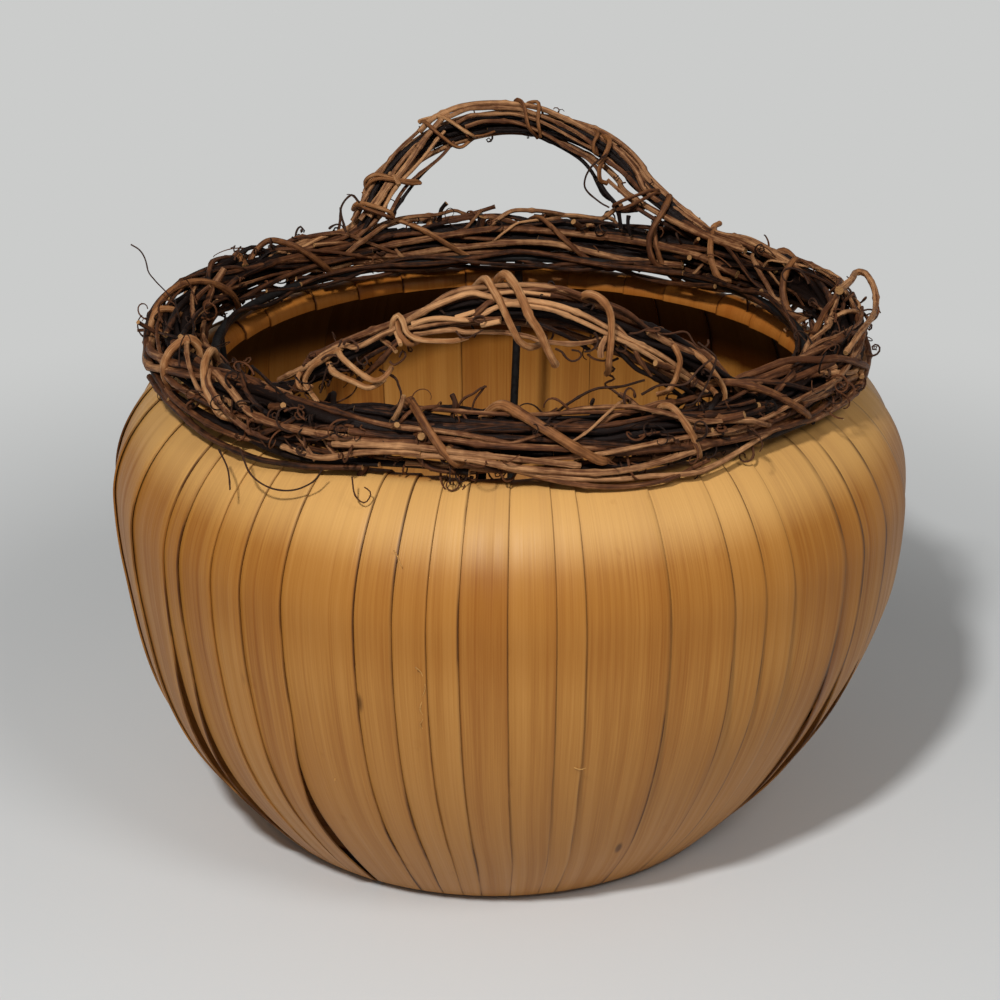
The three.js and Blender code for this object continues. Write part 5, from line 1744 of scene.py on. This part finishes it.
# %% Stubs and the looped shoot
STUB_COUNTS = {"wreath": 64, "front": 4, "back": 4}
STUB_LENGTH, STUB_THICKNESS = (4, 13), (1.1, 3.0)
STUB_TURNS, STUB_TONES, STUB_DEPTH = (0, 0.12), (-0.12, 0.14), 0.003
STUB_UPRIGHT, STUB_SPREAD, STUB_TAPER = 0.6, 0.3, (1.15, 0.85)
STUB_SEED, TWIG_SEED = 7000, 7900
LOOPED_SHOOT = [
    (-1, -1, 13), (5, 5, 13), (11, 10.2, 11.7), (9, 12.3, 12.5), (4, 12.9, 9.9), (0, 11.9, 6.2),
    (-9, 9.5, 9), (-18, 7.6, 9.5), (-24, 6, 6),
]
SHOOT_THICKNESS, SHOOT_TONE, SHOOT_TAPER = 2.3, 0.08, (1.1, 0.8)
BACK_TWIGS = [
    (1.8, 0, [(-34, 104, 176.5), (-24, 104, 180.5), (-17, 104, 181.5), (-5, 104, 185.5)]),
    (1.4, -0.05, [(-23.5, 102, 176), (-18.5, 102, 177), (-15.5, 102, 179), (-10, 102, 185)]),
    (1.8, -0.02, [(-10, 103, 181.5), (-6.5, 103, 182), (7, 103, 178), (12.5, 103, 177)]),
    (3, -0.15, [(-10, 101, 182.5), (-12.5, 101, 173.5)]),
    (1.8, -0.25, [(-26.5, 104, 179.5), (-26, 104, 184), (-24, 104, 186.5)]),
    (2.1, 0.05, [(19, 100, 173.5), (34.5, 100, 181.5), (42.5, 100, 187.5)]),
    (1.6, -0.3, [(-3.5, 101, 178), (-2, 101, 179), (0, 101, 178.5), (0.5, 101, 177), (-0.5, 101, 175)]),
    (0.6, -0.2, [(-36.5, 104, 180.5), (-35.5, 104, 178.5), (-34, 104, 179.5), (-34.5, 104, 181.5)]),
    (0.6, -0.2, [(-35.5, 104, 178.5), (-27.5, 104, 179.5)]),
    (0.6, -0.2, [(-24.5, 103, 175), (-21.5, 103, 177), (-18.5, 103, 177.5), (-21.5, 103, 175)]),
]


def stub(place, number):
    dice = random.Random(STUB_SEED + PLACE_SEEDS * len(place) + number)
    root, outward, along = ROOTS[place](dice)
    heading = random_heading(dice, STUB_UPRIGHT * outward, along, STUB_SPREAD)
    length, turns = dice.uniform(*STUB_LENGTH) * MM, dice.uniform(*STUB_TURNS)
    line = walk_tendril(root - STUB_DEPTH * outward, heading, dice, length, turns, 0.0)
    thick = taper(line, dice.uniform(*STUB_THICKNESS), *STUB_TAPER)
    return line, thick, dice.uniform(*STUB_TONES)


stubs = [stub(place, number) for place, count in STUB_COUNTS.items() for number in range(count)]
shoot = smooth_line([wreath_place(*place) for place in LOOPED_SHOOT])
stubs.append((shoot, taper(shoot, SHOOT_THICKNESS, *SHOOT_TAPER), SHOOT_TONE))
stubs += [placed_line(TWIG_SEED + number, *row) for number, row in enumerate(BACK_TWIGS)]
add_vines("stubs", "dark_vine", (), stubs, dark_vine, step=0.0014, spacing=0.009, swell=0.25)

# %% [markdown]
# ## Floor and light
# The basket stands on a plain pale floor. The main lamp hangs in front, a little to the left
# and halfway up the sky, so that it reaches the wall inside below the dark band under the lip.
# A wider lamp on the right and the sky fill the shadows. Far from the basket the lamps would
# leave the floor dim, so there the floor shows the camera one even pale colour. Only the
# camera sees it: the light on the basket is the same with or without it.

# %% Floor, lamps and sky
FLOOR_SIZE = 12.0
FLOOR_DROP = 0.0002
FLOOR_COLOUR, FLOOR_ROUGHNESS = linear(212, 214, 214), 0.9
BACKDROP_COLOUR = linear(203, 204, 203)
BACKDROP_FADES_IN = (0.2, 0.55)
SKY_COLOUR = linear(212, 211, 210)
SKY_STRENGTH = 0.28
LAMP_AIM = (0, 0, 0.1)
LAMPS = {
    "lamp_left": ((-0.32, -0.98, 1.18), 0.12, 16.2),
    "lamp_right": ((0.55, -0.8, 1.05), 0.4, 4.2),
}


def make_floor_material():
    material, tree, shader = start_material("pale_floor")
    set_inputs(tree, shader, {"Base Color": FLOOR_COLOUR, "Roughness": FLOOR_ROUGHNESS})
    away = add_node(tree, "ShaderNodeVectorMath", {0: object_place(tree)}, operation="LENGTH")
    far = smooth_ramp(tree, output(away, "Value"), *BACKDROP_FADES_IN)
    rays = tree.nodes.new("ShaderNodeLightPath")
    seen = math_node(tree, "MAXIMUM", output(rays, "Is Camera Ray"), output(rays, "Is Glossy Ray"))
    seen = math_node(tree, "MAXIMUM", seen, output(rays, "Is Transmission Ray"))
    plain = add_node(tree, "ShaderNodeEmission", {"Color": BACKDROP_COLOUR, "Strength": 1.0})
    mixed_inputs = {0: product(tree, far, seen), 1: shader.outputs[0], 2: output(plain)}
    mixed = add_node(tree, "ShaderNodeMixShader", mixed_inputs)
    surface = next(node for node in tree.nodes if node.bl_idname == "ShaderNodeOutputMaterial")
    set_inputs(tree, surface, {0: mixed.outputs[0]})
    return material


def make_floor():
    mesh = bpy.data.meshes.new("floor")
    half = FLOOR_SIZE / 2
    corners = [(-half, -half), (half, -half), (half, half), (-half, half)]
    mesh.from_pydata([(x, y, -FLOOR_DROP) for x, y in corners], [], [(0, 1, 2, 3)])
    mesh.materials.append(make_floor_material())
    add_object("floor", mesh)


def add_lamp(name, place, size, power):
    lamp = add_object(name, bpy.data.lights.new(name, "AREA"))
    lamp.data.shape = "DISK"
    lamp.data.size = size
    lamp.data.energy = power
    lamp.location = place
    lamp.rotation_euler = (Vector(LAMP_AIM) - Vector(place)).to_track_quat("-Z", "Y").to_euler()


def make_sky():
    world = bpy.data.worlds.new("pale sky")
    world.use_nodes = True
    sky = {"Color": SKY_COLOUR, "Strength": SKY_STRENGTH}
    set_inputs(world.node_tree, world.node_tree.nodes["Background"], sky)
    bpy.context.scene.world = world


make_floor()
for name, lamp_values in LAMPS.items():
    add_lamp(name, *lamp_values)
make_sky()
bpy.context.scene.view_settings.view_transform = "Standard"
print("floor", FLOOR_SIZE, "m wide, sky strength", SKY_STRENGTH)
